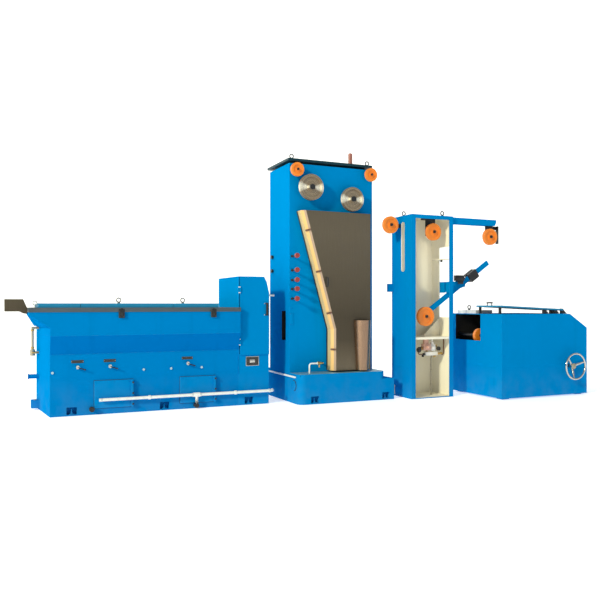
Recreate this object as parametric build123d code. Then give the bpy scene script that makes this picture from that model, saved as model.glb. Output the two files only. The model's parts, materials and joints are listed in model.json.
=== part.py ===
from build123d import *
from math import atan2, cos, degrees, radians, sin, tan
import os

# Wire drawing line: a slip drawing machine, an annealer tower, a dancer column and a take-up unit,
# standing one behind the other on the floor. Millimetres, +X along the wire, front towards -Y, +Z up.
# The units are placed from the drawing machine's lower front left corner, and the whole line is
# moved at the end so that its origin is the middle of its footprint on the floor.

# Shared sheet metal and clearances
plate = 8.0
thick_plate = 12.0
running_gap = 0.1
barrel_radius = 12.0
barrel_sink = 3.0
ear_radius = 4.0
ear_height = 14.0
seat_gap = 0.3
moving_gap = 6.0
overrun = 20.0
edge_round = 6.0

# Drawing machine
draw_length = 2630.0
draw_depth = 1000.0
tank_top_height = 1398.0
tank_height = 316.0
tank_floor_height = tank_top_height - tank_height
tank_proud = 100.0
corbel_height = 252.0
end_flare = 260.0
flare_rise = 108.0
flare_foot_height = tank_floor_height + flare_rise
end_slant = 125.0
flare_foot_reach = 159.0
rim_height = 60.0
rim_width = 40.0
rim_proud = 10.0
pocket_width = 135.0
pocket_height = 100.0
pocket_sill = 18.0
pocket_depth = 90.0
draw_pocket_left = 208.0
draw_pocket_middle = 1461.0

# Lids of the drawing machine
lid_height = 58.0
lid_setback = 24.0
lid_left_edge = -150.0
lid_joint_shares = (0.145, 0.6205)
lid_first_joint = draw_length * lid_joint_shares[0]
lid_second_joint = draw_length * lid_joint_shares[1]
lid_end_margin = 330.0
lid_last_edge = draw_length - lid_end_margin
lid_hinge_radius = 9.0
lid_hinge_length = 90.0
lid_knuckle_inset = 60.0
eye_ring_radius = 30.0
eye_wire_radius = 8.0
eye_foot_radius = 20.0
eye_foot_height = 14.0
eye_lid_shares = (0.4624, 0.3997)
eye_middle_place = lid_first_joint + (lid_second_joint - lid_first_joint) * eye_lid_shares[0]
eye_right_place = lid_second_joint + (lid_last_edge - lid_second_joint) * eye_lid_shares[1]

# Step cones and die holders in the trough
cone_count = 4
cone_steps = 6
cone_small_radius = 62.0
cone_step_rise = 11.0
cone_step_width = 34.0
cone_flange = 6.0
cone_first = 420.0
cone_pitch = 520.0
cone_axis_rise = 168.0
cone_axis_height = tank_floor_height + cone_axis_rise
cone_shaft_radius = 28.0
cone_wall_boss_radius = 60.0
cone_wall_boss_length = 60.0
die_block_width = 60.0
die_block_height = 90.0
die_block_hole_radius = 7.0

# Capstan housing at the end of the drawing machine
housing_length = 482.0
housing_height = 1920.0
housing_floor = 760.0
housing_chamber_depth = 420.0
chamfer_run = 82.0
chamfer_drop = 250.0
chamfer_knee_run = 40.0
chamfer_knee_drop = 78.0
door_thick = 22.0
door_margin = 20.0
door_hinge_length = 70.0
door_hinge_drop = 203.0
door_hinge_upper = housing_height - door_hinge_drop
door_hinge_lower = 942.0
door_handle_length = 190.0
door_handle_width = 34.0
door_handle_drop = 490.0
door_handle_height = housing_height - door_handle_drop
door_handle_inset = 25.0
door_handle_proud = 30.0
final_capstan_radius = 150.0
final_capstan_width = 130.0
final_capstan_flange = 16.0
housing_pocket_inset = 98.0
housing_pocket_place = draw_length + housing_pocket_inset
exit_tube_radius = 16.0
exit_tube_bore = 9.0
exit_tube_length = 110.0
exit_tube_drop = 280.0
exit_tube_level = housing_height - exit_tube_drop
exit_tube_inset = 60.0

# Front furniture of the drawing machine
label_drop = 100.0
label_level = tank_floor_height - corbel_height - label_drop
cover_one_left = 565.0
cover_two_left = 1748.0
cover_width = 519.0
cover_low = 84.0
cover_drop = 268.0
cover_high = label_level - cover_drop
cover_thick = 20.0
cover_lip = 26.0
label_width = 160.0
label_height = 40.0
label_thick = 3.0
label_places = (348.0, 771.0, 1854.0)
knob_drop = 74.0
knob_radius = 24.0
knob_stem_radius = 9.0
knob_stem_length = 26.0
knob_length = 28.0
lever_length = 86.0
lever_width = 14.0
nameplate_inset = 115.0
nameplate_left = draw_length + nameplate_inset
nameplate_width = 206.0
nameplate_low = 582.0
nameplate_high = 722.0
plug_radius = 17.0
plug_length = 12.0
plug_drop = 140.0
plug_level = label_level - plug_drop
plug_shares = (0.0114, 0.4684, 0.6152, 0.7852)
plug_places = [draw_length * share for share in plug_shares]
latch_width = 80.0
latch_height = 118.0
latch_thick = 22.0
latch_shares = (0.3472, 0.8422)
latch_places = [draw_length * share for share in latch_shares]
latch_drop = 24.0

# Coolant pipe along the front of the drawing machine
pipe_radius = 21.0
pipe_stand_off = 74.0
pipe_height = 205.0
pipe_start = 622.0
coupling_clearance = 3.0
coupling_level = 80.0
pipe_end_reach = 53.0
pipe_end = draw_length + housing_length + pipe_end_reach
pipe_bend_radius = 60.0
pipe_tee_place = 1975.0
pipe_fitting_radius = 32.0
coupling_place = cover_one_left - pipe_fitting_radius - coupling_clearance
tee_coupling_level = cover_low - pipe_fitting_radius - coupling_clearance
pipe_fitting_length = 90.0
pipe_run_back = 0.0
pipe_clip_width = 30.0
pipe_clip_places = (1300.0, 2560.0)

# Wire inlet and the pipework on the left end
inlet_box_left = -553.0
inlet_box_right = -318.0
inlet_box_crown = 175.0
inlet_box_top = tank_top_height + inlet_box_crown
inlet_box_rise = 7.0
inlet_box_low = tank_top_height + inlet_box_rise
inlet_box_depth = 260.0
inlet_box_place = 500.0
inlet_sheet = 4.0
inlet_drip = 26.0
end_pipe_radius = 17.0
end_pipe_place = 820.0
end_pipe_stand_off = 184.0
end_pipe_low = 815.0
end_pipe_drop = 25.0
end_pipe_high = flare_foot_height - end_pipe_drop
end_valve_radius = 34.0
end_valve_length = 90.0
end_stub_radius = 32.0
end_stub_length = 246.0
end_stub_height = 474.0
foot_lug_length = 207.0
foot_lug_width = 130.0
foot_lug_low = 24.0
foot_lug_high = 138.0

# Annealer tower
tower_gap = 343.0
tower_left = draw_length + housing_length + tower_gap
tower_width = 1460.0
tower_front = 0.0
tower_depth = 820.0
tower_height = 3680.0
roof_gap = 34.0
roof_thick = 36.0
roof_overhang = 34.0
roof_block_width = 90.0
plinth_front = -371.0
plinth_back_margin = 150.0
plinth_height = 418.0
tray_lip_height = 32.0
tray_lip_width = 30.0
tray_right_margin = 40.0
plinth_corner_round = 110.0
plinth_toe_length = 190.0
plinth_toe_height = 335.0
plinth_pocket_left_inset = 195.0
plinth_pocket_left = tower_left + plinth_pocket_left_inset
plinth_pocket_right_inset = 1430.0
plinth_pocket_right = tower_left + plinth_pocket_right_inset
window_near = 150.0
window_far = 313.0
window_low = 944.0
window_high = 1400.0
window_depth = 60.0
side_cap_radius = 15.0
side_cap_length = 10.0
side_cap_depth = 681.0
side_cap_levels = (2045.0, 2271.0)

# Cover over the annealing sheaves
cover_depth = 220.0
cover_sheet = 10.0
cover_bevel = 62.0
cover_top_drop = 745.0
cover_top_level = tower_height - cover_top_drop
cover_top_left_inset = 115.0
cover_top_left = tower_left + cover_top_left_inset
cover_bend_left_inset = 630.0
cover_bend_left = tower_left + cover_bend_left_inset
cover_bend_level = 1112.0
cover_right_inset = 1302.0
cover_right = tower_left + cover_right_inset
cover_floor_gap = 24.0
frame_depth = 46.0
frame_sheet = 12.0
cover_hinge_offset = 18.0
cover_hinge_length = 120.0
cover_hinge_shares = (0.29, 0.58, 0.87)
cover_hinge_levels = [cover_top_level * share for share in cover_hinge_shares]
can_centre_inset = 1150.0
can_centre = tower_left + can_centre_inset
can_top_radius = 140.0
can_low_radius = 104.0
can_top_level = 1252.0
can_sheet = 8.0
can_ring_level = 806.0
can_ring_height = 22.0
can_ring_proud = 7.0
clamp_length = 88.0
clamp_width = 28.0
clamp_thick = 14.0
clamp_knob = 34.0
clamp_shares = (0.899, 0.685, 0.467, 0.274)
clamp_levels = [cover_top_level * share for share in clamp_shares]
grip_inset = 530.0
grip_place = tower_left + grip_inset
grip_level = 1846.0
grip_length = 150.0
grip_proud = 44.0

# Sheaves and their spindles
contact_left_inset = 306.0
contact_left_place = tower_left + contact_left_inset
contact_left_drop = 376.0
contact_left_level = tower_height - contact_left_drop
contact_left_radius = 200.0
contact_right_inset = 1023.0
contact_right_place = tower_left + contact_right_inset
contact_right_drop = 517.0
contact_right_level = tower_height - contact_right_drop
contact_right_radius = 190.0
contact_width = 64.0
contact_groove = 12.0
contact_hub_radius = 62.0
contact_hub_length = 96.0
contact_bore_radius = 28.0
contact_stand_off = 84.0
guide_radius = 106.0
guide_width = 44.0
guide_groove = 18.0
guide_hub_radius = 28.0
guide_hub_length = 58.0
guide_bore_radius = 12.0
guide_stand_off = 60.0
guide_left_inset = 92.0
guide_left_place = tower_left + guide_left_inset
guide_left_drop = 110.0
guide_left_level = tower_height - guide_left_drop
guide_right_inset = 1386.0
guide_right_place = tower_left + guide_right_inset
guide_right_drop = 93.0
guide_right_level = tower_height - guide_right_drop
spindle_collar_share = 1.7
spindle_cap_share = 1.5
spindle_cap_length = 16.0
web_share = 0.4
lower_sheave_left_inset = 875.0
lower_sheave_left = tower_left + lower_sheave_left_inset
lower_sheave_right_inset = 1105.0
lower_sheave_right = tower_left + lower_sheave_right_inset
lower_sheave_level = 900.0
lower_sheave_radius = 95.0
steam_tube_radius = 30.0
steam_tube_low = 1500.0
steam_tube_drop = 235.0
steam_tube_high = cover_top_level - steam_tube_drop

# Flow valves, lamp, caps and tray pipework on the tower
valve_inset = 42.0
valve_place = tower_left + valve_inset
valve_levels = (1590.0, 1738.0, 1876.0, 2026.0, 2243.0)
valve_radius = 36.0
valve_length = 44.0
valve_stem_radius = 11.0
valve_stem_length = 176.0
valve_flange_radius = 20.0
valve_flange_thick = 8.0
lamp_inset = 1090.0
lamp_place = tower_left + lamp_inset
lamp_radius = 34.0
lamp_height = 170.0
lamp_foot_radius = 42.0
lamp_foot_height = 18.0
tray_pipe_radius = 12.0
tray_pipe_inset = 245.0
tray_pipe_place = tower_left + tray_pipe_inset
tray_pipe_run = 245.0
tray_pipe_level = 598.0
tray_pipe_front = -200.0
tray_valve_radius = 21.0
tray_valve_length = 62.0
drip_pipe_radius = 14.0
drip_pipe_length = 1050.0
drip_pipe_level = 405.0

# Dancer column
column_gap = 420.0
column_left = tower_left + tower_width + column_gap
column_width = 800.0
column_front = -521.0
column_depth = 590.0
column_height = 2935.0
column_wall = 14.0
flange_width = 74.0
column_pocket_near = -213.0
column_pocket_far = -2.0
column_pocket_high = 175.0
slot_width = 100.0
slot_place = -265.0
slot_low = 2030.0
slot_high_drop = 103.0
slot_high = column_height - slot_high_drop
window_wall_low = 1290.0
window_wall_high_drop = 485.0
window_wall_high = column_height - window_wall_high_drop
stop_drop = 699.0
stop_level = column_height - stop_drop
stop_reach = 120.0
stop_lap = 30.0
stop_buffer_radius = 18.0
stop_buffer_length = 34.0
window_wall_near = -440.0
window_wall_far = -150.0
shelf_level = 940.0
shelf_thick = 36.0
gusset_thick = 14.0
gusset_run = 330.0
gusset_rise = 300.0
gusset_place = -160.0
column_lug_near = 84.0
column_lug_far = 20.0
column_lug_low = 1710.0
column_lug_high = 1842.0
column_lug_length = 90.0
entry_radius = 137.0
entry_drop = 160.0
entry_level = column_height - entry_drop
entry_inset = -238.0
entry_place = column_left + entry_inset
entry_depth_place = -265.0
inner_radius = 139.0
inner_inset = 495.0
inner_place = column_left + inner_inset
inner_drop = 253.0
inner_level = column_height - inner_drop
inner_depth_place = -393.0
inner_bracket_width = 190.0
inner_bracket_height = 48.0
boom_high_drop = 5.0
boom_high = column_height - boom_high_drop
boom_height = 100.0
boom_low = boom_high - boom_height
boom_width = 120.0
boom_reach = 1735.0
boom_end = column_left + boom_reach
boom_chamfer = 60.0
boom_place = -400.0
boom_sheave_inset = 1595.0
boom_sheave_place = column_left + boom_sheave_inset
boom_sheave_drop = 190.0
boom_sheave_level = boom_low - boom_sheave_drop
boom_sheave_radius = 137.0
boom_bracket_drop = 300.0
boom_bracket_width = 60.0
boom_bracket_thick = 14.0
wide_sheave_width = 52.0
wide_bore_radius = 16.0
wide_hub_radius = 36.0
wide_hub_length = 66.0
wide_stand_off = 74.0

# Dancer arm, carried outside the column's right wall
pivot_inset = 1135.0
pivot_place = column_left + pivot_inset
pivot_level = 1846.0
arm_place = -300.0
arm_sheave_inset = 344.0
arm_sheave_place = column_left + arm_sheave_inset
arm_sheave_level = 1307.0
arm_sheave_radius = 155.0
arm_tail = 660.0
arm_height = 80.0
arm_thick = 30.0
pivot_boss_radius = 44.0
pivot_boss_width = 44.0
pivot_foot_thick = 12.0
pivot_foot_overlap = 40.0
pivot_pin_radius = 20.0
pivot_bracket_width = 150.0
pivot_bracket_thick = 20.0
pivot_bracket_drop = 30.0
counterweight_distance = 165.0
counterweight_length = 180.0
counterweight_height = 150.0
counterweight_width = 90.0

# Air service unit under the shelf
air_block_width = 150.0
air_block_height = 110.0
air_block_depth = 120.0
air_bowl_radius = 44.0
air_bowl_height = 96.0
air_tube_radius = 11.0
air_nut_radius = 26.0
air_nut_length = 34.0

# Take-up unit
takeup_gap = 430.0
takeup_left = column_left + column_width + takeup_gap
takeup_length = 1800.0
takeup_right = takeup_left + takeup_length
takeup_front = -1182.0
takeup_depth = 1250.0
takeup_height = 1348.0
takeup_foot = 20.0
takeup_foot_inset = 60.0
takeup_chamfer_run = 380.0
takeup_chamfer_drop = 234.0
takeup_wall = 12.0
opening_near = -668.0
opening_far = -18.0
opening_sill = 907.0
top_hole_left_inset = 95.0
top_hole_left = takeup_left + top_hole_left_inset
top_hole_right_inset = 1315.0
top_hole_right = takeup_left + top_hole_right_inset
top_hole_near = -1090.0
top_hole_far = -550.0
wire_slot_left_inset = 75.0
wire_slot_left = takeup_left + wire_slot_left_inset
wire_slot_right_inset = 335.0
wire_slot_right = takeup_left + wire_slot_right_inset
wire_slot_near = -500.0
wire_slot_far = -60.0
slot_frame_lap = 40.0
slot_frame_height = 58.0
slot_eye_inset = 270.0
slot_eye_place = takeup_left + slot_eye_inset
guard_left_inset = 35.0
guard_left = takeup_left + guard_left_inset
guard_right_inset = 1395.0
guard_right = takeup_left + guard_right_inset
guard_near = -1120.0
guard_far = -520.0
guard_thick = 24.0
guard_raise = 50.0
guard_lift_angle = 2.6
guard_buffer_radius = 16.0
guard_hinge_radius = 12.0
guard_hinge_length = 120.0
guard_handle_length = 130.0
guard_handle_rise = 46.0
guard_handle_radius = 11.0
stay_width = 40.0
stay_height = 170.0
stay_length = 210.0
spool_radius = 300.0
spool_core_radius = 150.0
spool_width = 420.0
spool_flange = 22.0
spool_inset = 685.0
spool_place = takeup_left + spool_inset
spool_level = 760.0
spool_bore_radius = 40.0
roller_radius = 115.0
roller_width = 60.0
roller_inset = 135.0
roller_place = takeup_left + roller_inset
roller_level = 985.0
roller_depth_place = -480.0
traverse_radius = 30.0
wheel_inset = 1402.0
wheel_place = takeup_left + wheel_inset
wheel_level = 490.0
wheel_radius = 222.0
wheel_dish = 70.0
wheel_first_spoke = 20.0
wheel_rim_radius = 15.0
wheel_rim_rounding = 13.5
wheel_hub_radius = 40.0
wheel_hub_length = 62.0
wheel_spoke_radius = 11.0
wheel_stand_off = 70.0
wheel_bore_radius = 16.0
wheel_spoke_count = 3

# Lifting eyes on the tower and the column
tower_eye_inset = 60.0
column_eye_insets = ((65.0, 334.0), (625.0, 60.0))


def block(x, y, z):
    """A plain block from three pairs of limits."""
    size = (x[1] - x[0], y[1] - y[0], z[1] - z[0])
    middle = ((x[0] + x[1]) / 2, (y[0] + y[1]) / 2, (z[0] + z[1]) / 2)
    return Pos(*middle) * Box(*size)


def rod(radius, start, end):
    """A round bar between two points."""
    a, b = Vector(*start), Vector(*end)
    way = b - a
    return Plane(origin=a + way / 2, z_dir=way) * Cylinder(radius, way.length)


def pipe(radius, points, bend):
    """A round pipe along a route whose corners are bends of one radius."""
    route = FilletPolyline(*points, radius=bend)
    return sweep(Plane(origin=route @ 0, z_dir=route % 0) * Circle(radius), path=route)


def outline_y(points, y):
    """A profile in X and Z, pushed through a pair of limits along Y."""
    face = make_face(Polyline(*[(x, y[0], z) for x, z in points], close=True))
    return extrude(face, amount=y[1] - y[0], dir=(0, 1, 0))


def outline_z(points, z):
    """A profile in X and Y, pushed through a pair of limits along Z."""
    face = make_face(Polyline(*[(x, y, z[0]) for x, y in points], close=True))
    return extrude(face, amount=z[1] - z[0], dir=(0, 0, 1))


def outline_x(points, x):
    """A profile in Y and Z, pushed through a pair of limits along X."""
    face = make_face(Polyline(*[(x[0], y, z) for y, z in points], close=True))
    return extrude(face, amount=x[1] - x[0], dir=(1, 0, 0))


def sheave(radius, width, groove, hub_radius, hub_length, bore, centre):
    """A grooved wheel turning about Y; centre is the middle of its hub."""
    half, web, hub = width / 2, width * web_share / 2, hub_length / 2
    rim = radius - groove - width * web_share
    lip = width * web_share / 2
    profile = Polyline(
        (bore, -hub), (hub_radius, -hub), (hub_radius, -web), (rim, -web), (rim, -half),
        (radius, -half), (radius, -half + lip), (radius - groove, 0), (radius, half - lip),
        (radius, half), (rim, half), (rim, web), (hub_radius, web), (hub_radius, hub), (bore, hub),
        close=True)
    wheel = revolve(make_face(Plane.XZ * profile), axis=Axis.Z)
    return Pos(*centre) * Rot(X=90) * wheel


def spindle(bore, hub_length, centre, root, cap_length=spindle_cap_length):
    """A fixed spindle along Y for a sheave: collar behind it, shaft through it, cap nut before it."""
    x, y, z = centre
    back = y + hub_length / 2 + seat_gap
    front = y - hub_length / 2 - seat_gap
    bar = rod(bore - running_gap, (x, front, z), (x, back, z))
    bar += rod(bore * spindle_collar_share, (x, back, z), (x, root, z))
    bar += rod(bore * spindle_cap_share, (x, front - cap_length, z), (x, front, z))
    return bar


def lifting_eye(x, y, z):
    """A ring on a round foot, standing at z."""
    ring_height = z + eye_foot_height + eye_ring_radius + eye_wire_radius / 2
    ring = Pos(x, y, ring_height) * Rot(X=90) * Torus(eye_ring_radius, eye_wire_radius)
    foot = Pos(x, y, z + eye_foot_height / 2) * Cylinder(eye_foot_radius, eye_foot_height)
    return foot + ring


nodes = {}

# Base of the drawing machine, with the sloping underside that carries the tank
tank_front = -tank_proud
corbel_foot = tank_floor_height - corbel_height
draw_base = outline_x(
    [(0, 0), (draw_depth, 0), (draw_depth, tank_floor_height), (tank_front, tank_floor_height),
     (0, corbel_foot)], (-end_slant, draw_length))
draw_base -= outline_z(
    [(-end_slant - overrun, tank_front - overrun), (0, tank_front - overrun), (0, 0),
     (-end_slant, draw_depth), (-end_slant, draw_depth + overrun),
     (-end_slant - overrun, draw_depth + overrun)],
    (-overrun, tank_floor_height + overrun))


def anchor_pocket(left, front):
    """The recess at floor level that holds an anchor bolt."""
    return block((left, left + pocket_width), (front - overrun, front + pocket_depth),
                 (pocket_sill, pocket_sill + pocket_height))


for left in (draw_pocket_left, draw_pocket_middle):
    draw_base -= anchor_pocket(left, 0)

# Open trough with a flared left end
tank_wall = thick_plate


def tank_form(wall):
    """The trough's outer form, or its hollow one wall inside: slanted below, flared at its left end."""
    near, far, right = tank_front + wall, draw_depth - wall, draw_length - wall
    low = [(wall, near), (right, near), (right, far), (wall - end_slant, far), (wall, wall)]
    foot = [(wall, near), (right, near), (right, far), (wall - flare_foot_reach, far)]
    top = [(wall - end_flare, near), (right, near), (right, far), (wall - end_flare, far)]
    shoulder = tank_top_height - rim_width
    form = outline_z(low, (tank_floor_height + wall, flare_foot_height))
    sections = [make_face(Polyline(*[(x, y, level) for x, y in plan], close=True))
                for plan, level in ((foot, flare_foot_height), (top, shoulder))]
    form += loft(sections, ruled=True)
    return form + outline_z(top, (shoulder, tank_top_height + (overrun if wall else 0)))


tank_outer = tank_form(0)
nodes["draw_tank"] = tank_outer - tank_form(tank_wall)

# Stainless rim round the trough
rim_top = tank_top_height + rim_height
rim_outer = block((-end_flare - rim_proud, draw_length), (tank_front - rim_proud, draw_depth + rim_proud),
                  (tank_top_height, rim_top))
rim_inner = block((-end_flare + rim_width, draw_length - rim_width),
                  (tank_front + rim_width, draw_depth - rim_width),
                  (tank_top_height - overrun, rim_top + overrun))
rim_deck = block((lid_last_edge + moving_gap, draw_length - rim_width),
                 (tank_front + rim_width, draw_depth - rim_width), (rim_top - plate, rim_top))
nodes["tank_rim"] = rim_outer - rim_inner + rim_deck

# Three lids, each a folded sheet with turned-down edges and two hinge knuckles at the back
lid_front = tank_front + lid_setback
lid_back = draw_depth - lid_setback
lid_low = rim_top + seat_gap
lid_top = lid_low + lid_height
lid_hinge_line = lid_back + lid_hinge_radius - barrel_sink


def folded_lid(left, right):
    """One lid of the trough."""
    shell = block((left, right), (lid_front, lid_back), (lid_low, lid_top))
    shell = fillet(shell.edges().group_by(Axis.Z)[-1], edge_round)
    shell -= block((left + plate, right - plate), (lid_front + plate, lid_back - plate),
                   (lid_low - overrun, lid_top - plate))
    for end in (left + lid_knuckle_inset, right - lid_knuckle_inset - lid_hinge_length):
        level = lid_low + lid_hinge_radius
        shell += rod(lid_hinge_radius, (end, lid_hinge_line, level),
                     (end + lid_hinge_length, lid_hinge_line, level))
    return shell


nodes["lid_left"] = folded_lid(lid_left_edge, lid_first_joint - moving_gap / 2)
nodes["lid_middle"] = folded_lid(lid_first_joint + moving_gap / 2, lid_second_joint - moving_gap / 2)
nodes["lid_right"] = folded_lid(lid_second_joint + moving_gap / 2, lid_last_edge)
lid_eye_line = (lid_front + lid_back) / 2
nodes["eye_middle"] = lifting_eye(eye_middle_place, lid_eye_line, lid_top)
nodes["eye_right"] = lifting_eye(eye_right_place, lid_eye_line, lid_top)

# Step cones: ceramic-faced drums of rising diameter on shafts from the back wall
back_wall = draw_depth - tank_wall


def step_cone(x, rising):
    """One stepped drawing cone about Y, its smallest step first when rising."""
    length = cone_steps * cone_step_width + cone_flange
    start = back_wall - cone_wall_boss_length - length
    cone = rod(cone_wall_boss_radius, (x, back_wall - cone_wall_boss_length, cone_axis_height),
               (x, back_wall, cone_axis_height))
    cone += rod(cone_shaft_radius, (x, start - cone_flange * cone_steps, cone_axis_height),
                (x, start, cone_axis_height))
    for step in range(cone_steps):
        size = step if rising else cone_steps - 1 - step
        radius = cone_small_radius + size * cone_step_rise
        near = start + step * cone_step_width
        cone += rod(radius, (x, near, cone_axis_height), (x, near + cone_step_width, cone_axis_height))
        cone += rod(radius + cone_flange, (x, near + cone_step_width - cone_flange, cone_axis_height),
                    (x, near + cone_step_width, cone_axis_height))
    end = start + cone_steps * cone_step_width
    cone += rod(cone_small_radius, (x, end, cone_axis_height),
                (x, back_wall - cone_wall_boss_length, cone_axis_height))
    return cone


cones = [step_cone(cone_first + i * cone_pitch, True) for i in range(cone_count)]

# Die holders stand on the trough's floor between the cones
tank_floor = tank_floor_height + tank_wall
holders = []
for i in range(cone_count - 1):
    x = cone_first + (i + 1 / 2) * cone_pitch
    length = cone_steps * cone_step_width
    near = back_wall - cone_wall_boss_length - length
    top = cone_axis_height + die_block_height / 2
    holder = block((x - die_block_width / 2, x + die_block_width / 2), (near, near + length),
                   (tank_floor, top))
    for step in range(cone_steps):
        place = near + (step + 1 / 2) * cone_step_width
        holder -= rod(die_block_hole_radius, (x - die_block_width, place, cone_axis_height),
                      (x + die_block_width, place, cone_axis_height))
    holders.append(holder)
nodes["die_holders"] = Compound(children=holders)

# Capstan housing: a closed foot, and a chamber behind the door
housing_left = draw_length
housing_right = draw_length + housing_length


def housing_outline(left, low, wall):
    """The housing's front outline, with its two-step chamfer at the upper right, one wall inside."""
    right, top = housing_right - wall, housing_height - wall
    return [(left, low), (right, low), (right, top - chamfer_drop),
            (right - chamfer_knee_run, top - chamfer_knee_drop), (right - chamfer_run, top), (left, top)]


housing = outline_y(housing_outline(housing_left, 0, 0), (0, draw_depth))
chamber = outline_y(housing_outline(housing_left + thick_plate, housing_floor, thick_plate),
                    (-overrun, housing_chamber_depth))
housing -= chamber
housing -= anchor_pocket(housing_pocket_place, 0)
nodes["capstan_housing"] = housing

# Finishing capstan on its shaft from the chamber's back wall
capstan_x = housing_left + housing_length / 2
capstan_z = (housing_floor + housing_height - chamfer_drop) / 2
capstan_near = housing_chamber_depth - final_capstan_width - cone_wall_boss_length
drum = rod(final_capstan_radius, (capstan_x, capstan_near, capstan_z),
           (capstan_x, capstan_near + final_capstan_width, capstan_z))
for near in (capstan_near, capstan_near + final_capstan_width - final_capstan_flange):
    drum += rod(final_capstan_radius + final_capstan_flange, (capstan_x, near, capstan_z),
                (capstan_x, near + final_capstan_flange, capstan_z))
drum += rod(cone_wall_boss_radius, (capstan_x, capstan_near + final_capstan_width, capstan_z),
            (capstan_x, housing_chamber_depth, capstan_z))
nodes["drawing_capstans"] = Compound(children=cones + [drum])

# Door over the chamber, hinged at its left edge
door_back = -seat_gap
door_front = door_back - door_thick
door_left = housing_left + door_margin
door_low = housing_floor - thick_plate
door_pin_x = door_left - barrel_sink
door_pin_y = door_front - barrel_radius + barrel_sink
door = outline_y(housing_outline(door_left, door_low, 0), (door_front, door_back))
door_ears = []
for level in (door_hinge_lower, door_hinge_upper):
    low, high = level - door_hinge_length / 2, level + door_hinge_length / 2
    door += rod(barrel_radius, (door_pin_x, door_pin_y, low), (door_pin_x, door_pin_y, high))
    for ear_low in (low - seat_gap - ear_height, high + seat_gap):
        ear = block((housing_left, door_pin_x + ear_radius),
                    (door_pin_y - ear_radius, door_pin_y + ear_radius), (ear_low, ear_low + ear_height))
        ear += block((housing_left, door_left - moving_gap), (door_pin_y - ear_radius, 0),
                     (ear_low, ear_low + ear_height))
        door_ears.append(ear)
nodes["capstan_door"] = door
handle_x = housing_right - door_handle_width - door_handle_inset
handle = block((handle_x, handle_x + door_handle_width), (door_front - door_handle_proud, door_front),
               (door_handle_height - door_handle_length / 2, door_handle_height + door_handle_length / 2))
handle -= block((handle_x - overrun, handle_x + door_handle_width / 2),
                (door_front - door_handle_proud + edge_round, door_front + overrun),
                (door_handle_height - door_handle_length / 2 + overrun,
                 door_handle_height + door_handle_length / 2 - overrun))
nodes["door_handle"] = handle

# Wire exit tube through the housing's right side
tube_y = exit_tube_inset
tube = rod(exit_tube_radius, (housing_right, tube_y, exit_tube_level),
           (housing_right + exit_tube_length, tube_y, exit_tube_level))
tube -= rod(exit_tube_bore, (housing_right - overrun, tube_y, exit_tube_level),
            (housing_right + exit_tube_length + overrun, tube_y, exit_tube_level))
nodes["wire_exit_tube"] = tube

# Bolted access covers low on the front, each with a turned-out lip at its right edge
covers = []
for left in (cover_one_left, cover_two_left):
    cover = block((left, left + cover_width), (-cover_thick, 0), (cover_low, cover_high))
    cover = chamfer(cover.edges().group_by(Axis.Y)[0], edge_round)
    cover += block((left + cover_width - cover_lip, left + cover_width),
                   (-cover_thick - cover_lip, -cover_thick), (cover_low, cover_high))
    covers.append(cover)
nodes["access_covers"] = Compound(children=covers)

# Bare label plates with a lever valve under each, and the bare nameplate
plates = [block((x - label_width / 2, x + label_width / 2), (-label_thick, 0),
                (label_level - label_height / 2, label_level + label_height / 2)) for x in label_places]
plates.append(block((nameplate_left, nameplate_left + nameplate_width), (-label_thick, 0),
                    (nameplate_low, nameplate_high)))
nodes["label_plates"] = Compound(children=plates)
knobs = []
knob_level = label_level - knob_drop
for x in label_places:
    stem_front = -knob_stem_length
    knob = rod(knob_stem_radius, (x, 0, knob_level), (x, stem_front, knob_level))
    knob += rod(knob_radius, (x, stem_front, knob_level), (x, stem_front - knob_length, knob_level))
    knob += block((x - lever_length / 2, x + lever_length / 2), (stem_front - knob_length, stem_front),
                  (knob_level - lever_width / 2, knob_level + lever_width / 2))
    knobs.append(knob)
nodes["lever_valves"] = Compound(children=knobs)
plugs = [rod(plug_radius, (x, 0, plug_level), (x, -plug_length, plug_level)) for x in plug_places]

# Latches that hold the lids' front edge down on the rim
latches = []
latch_back = tank_front - rim_proud
latch_top = rim_top - latch_drop
for x in latch_places:
    latch = block((x - latch_width / 2, x + latch_width / 2), (latch_back - latch_thick, latch_back),
                  (latch_top - latch_height, latch_top))
    latch = chamfer(latch.edges().group_by(Axis.Y)[0], edge_round)
    latch += block((x - latch_width / 4, x + latch_width / 4), (latch_back, tank_front),
                   (latch_top - latch_height, tank_top_height))
    latches.append(latch)
nodes["rim_latches"] = Compound(children=latches)

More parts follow.
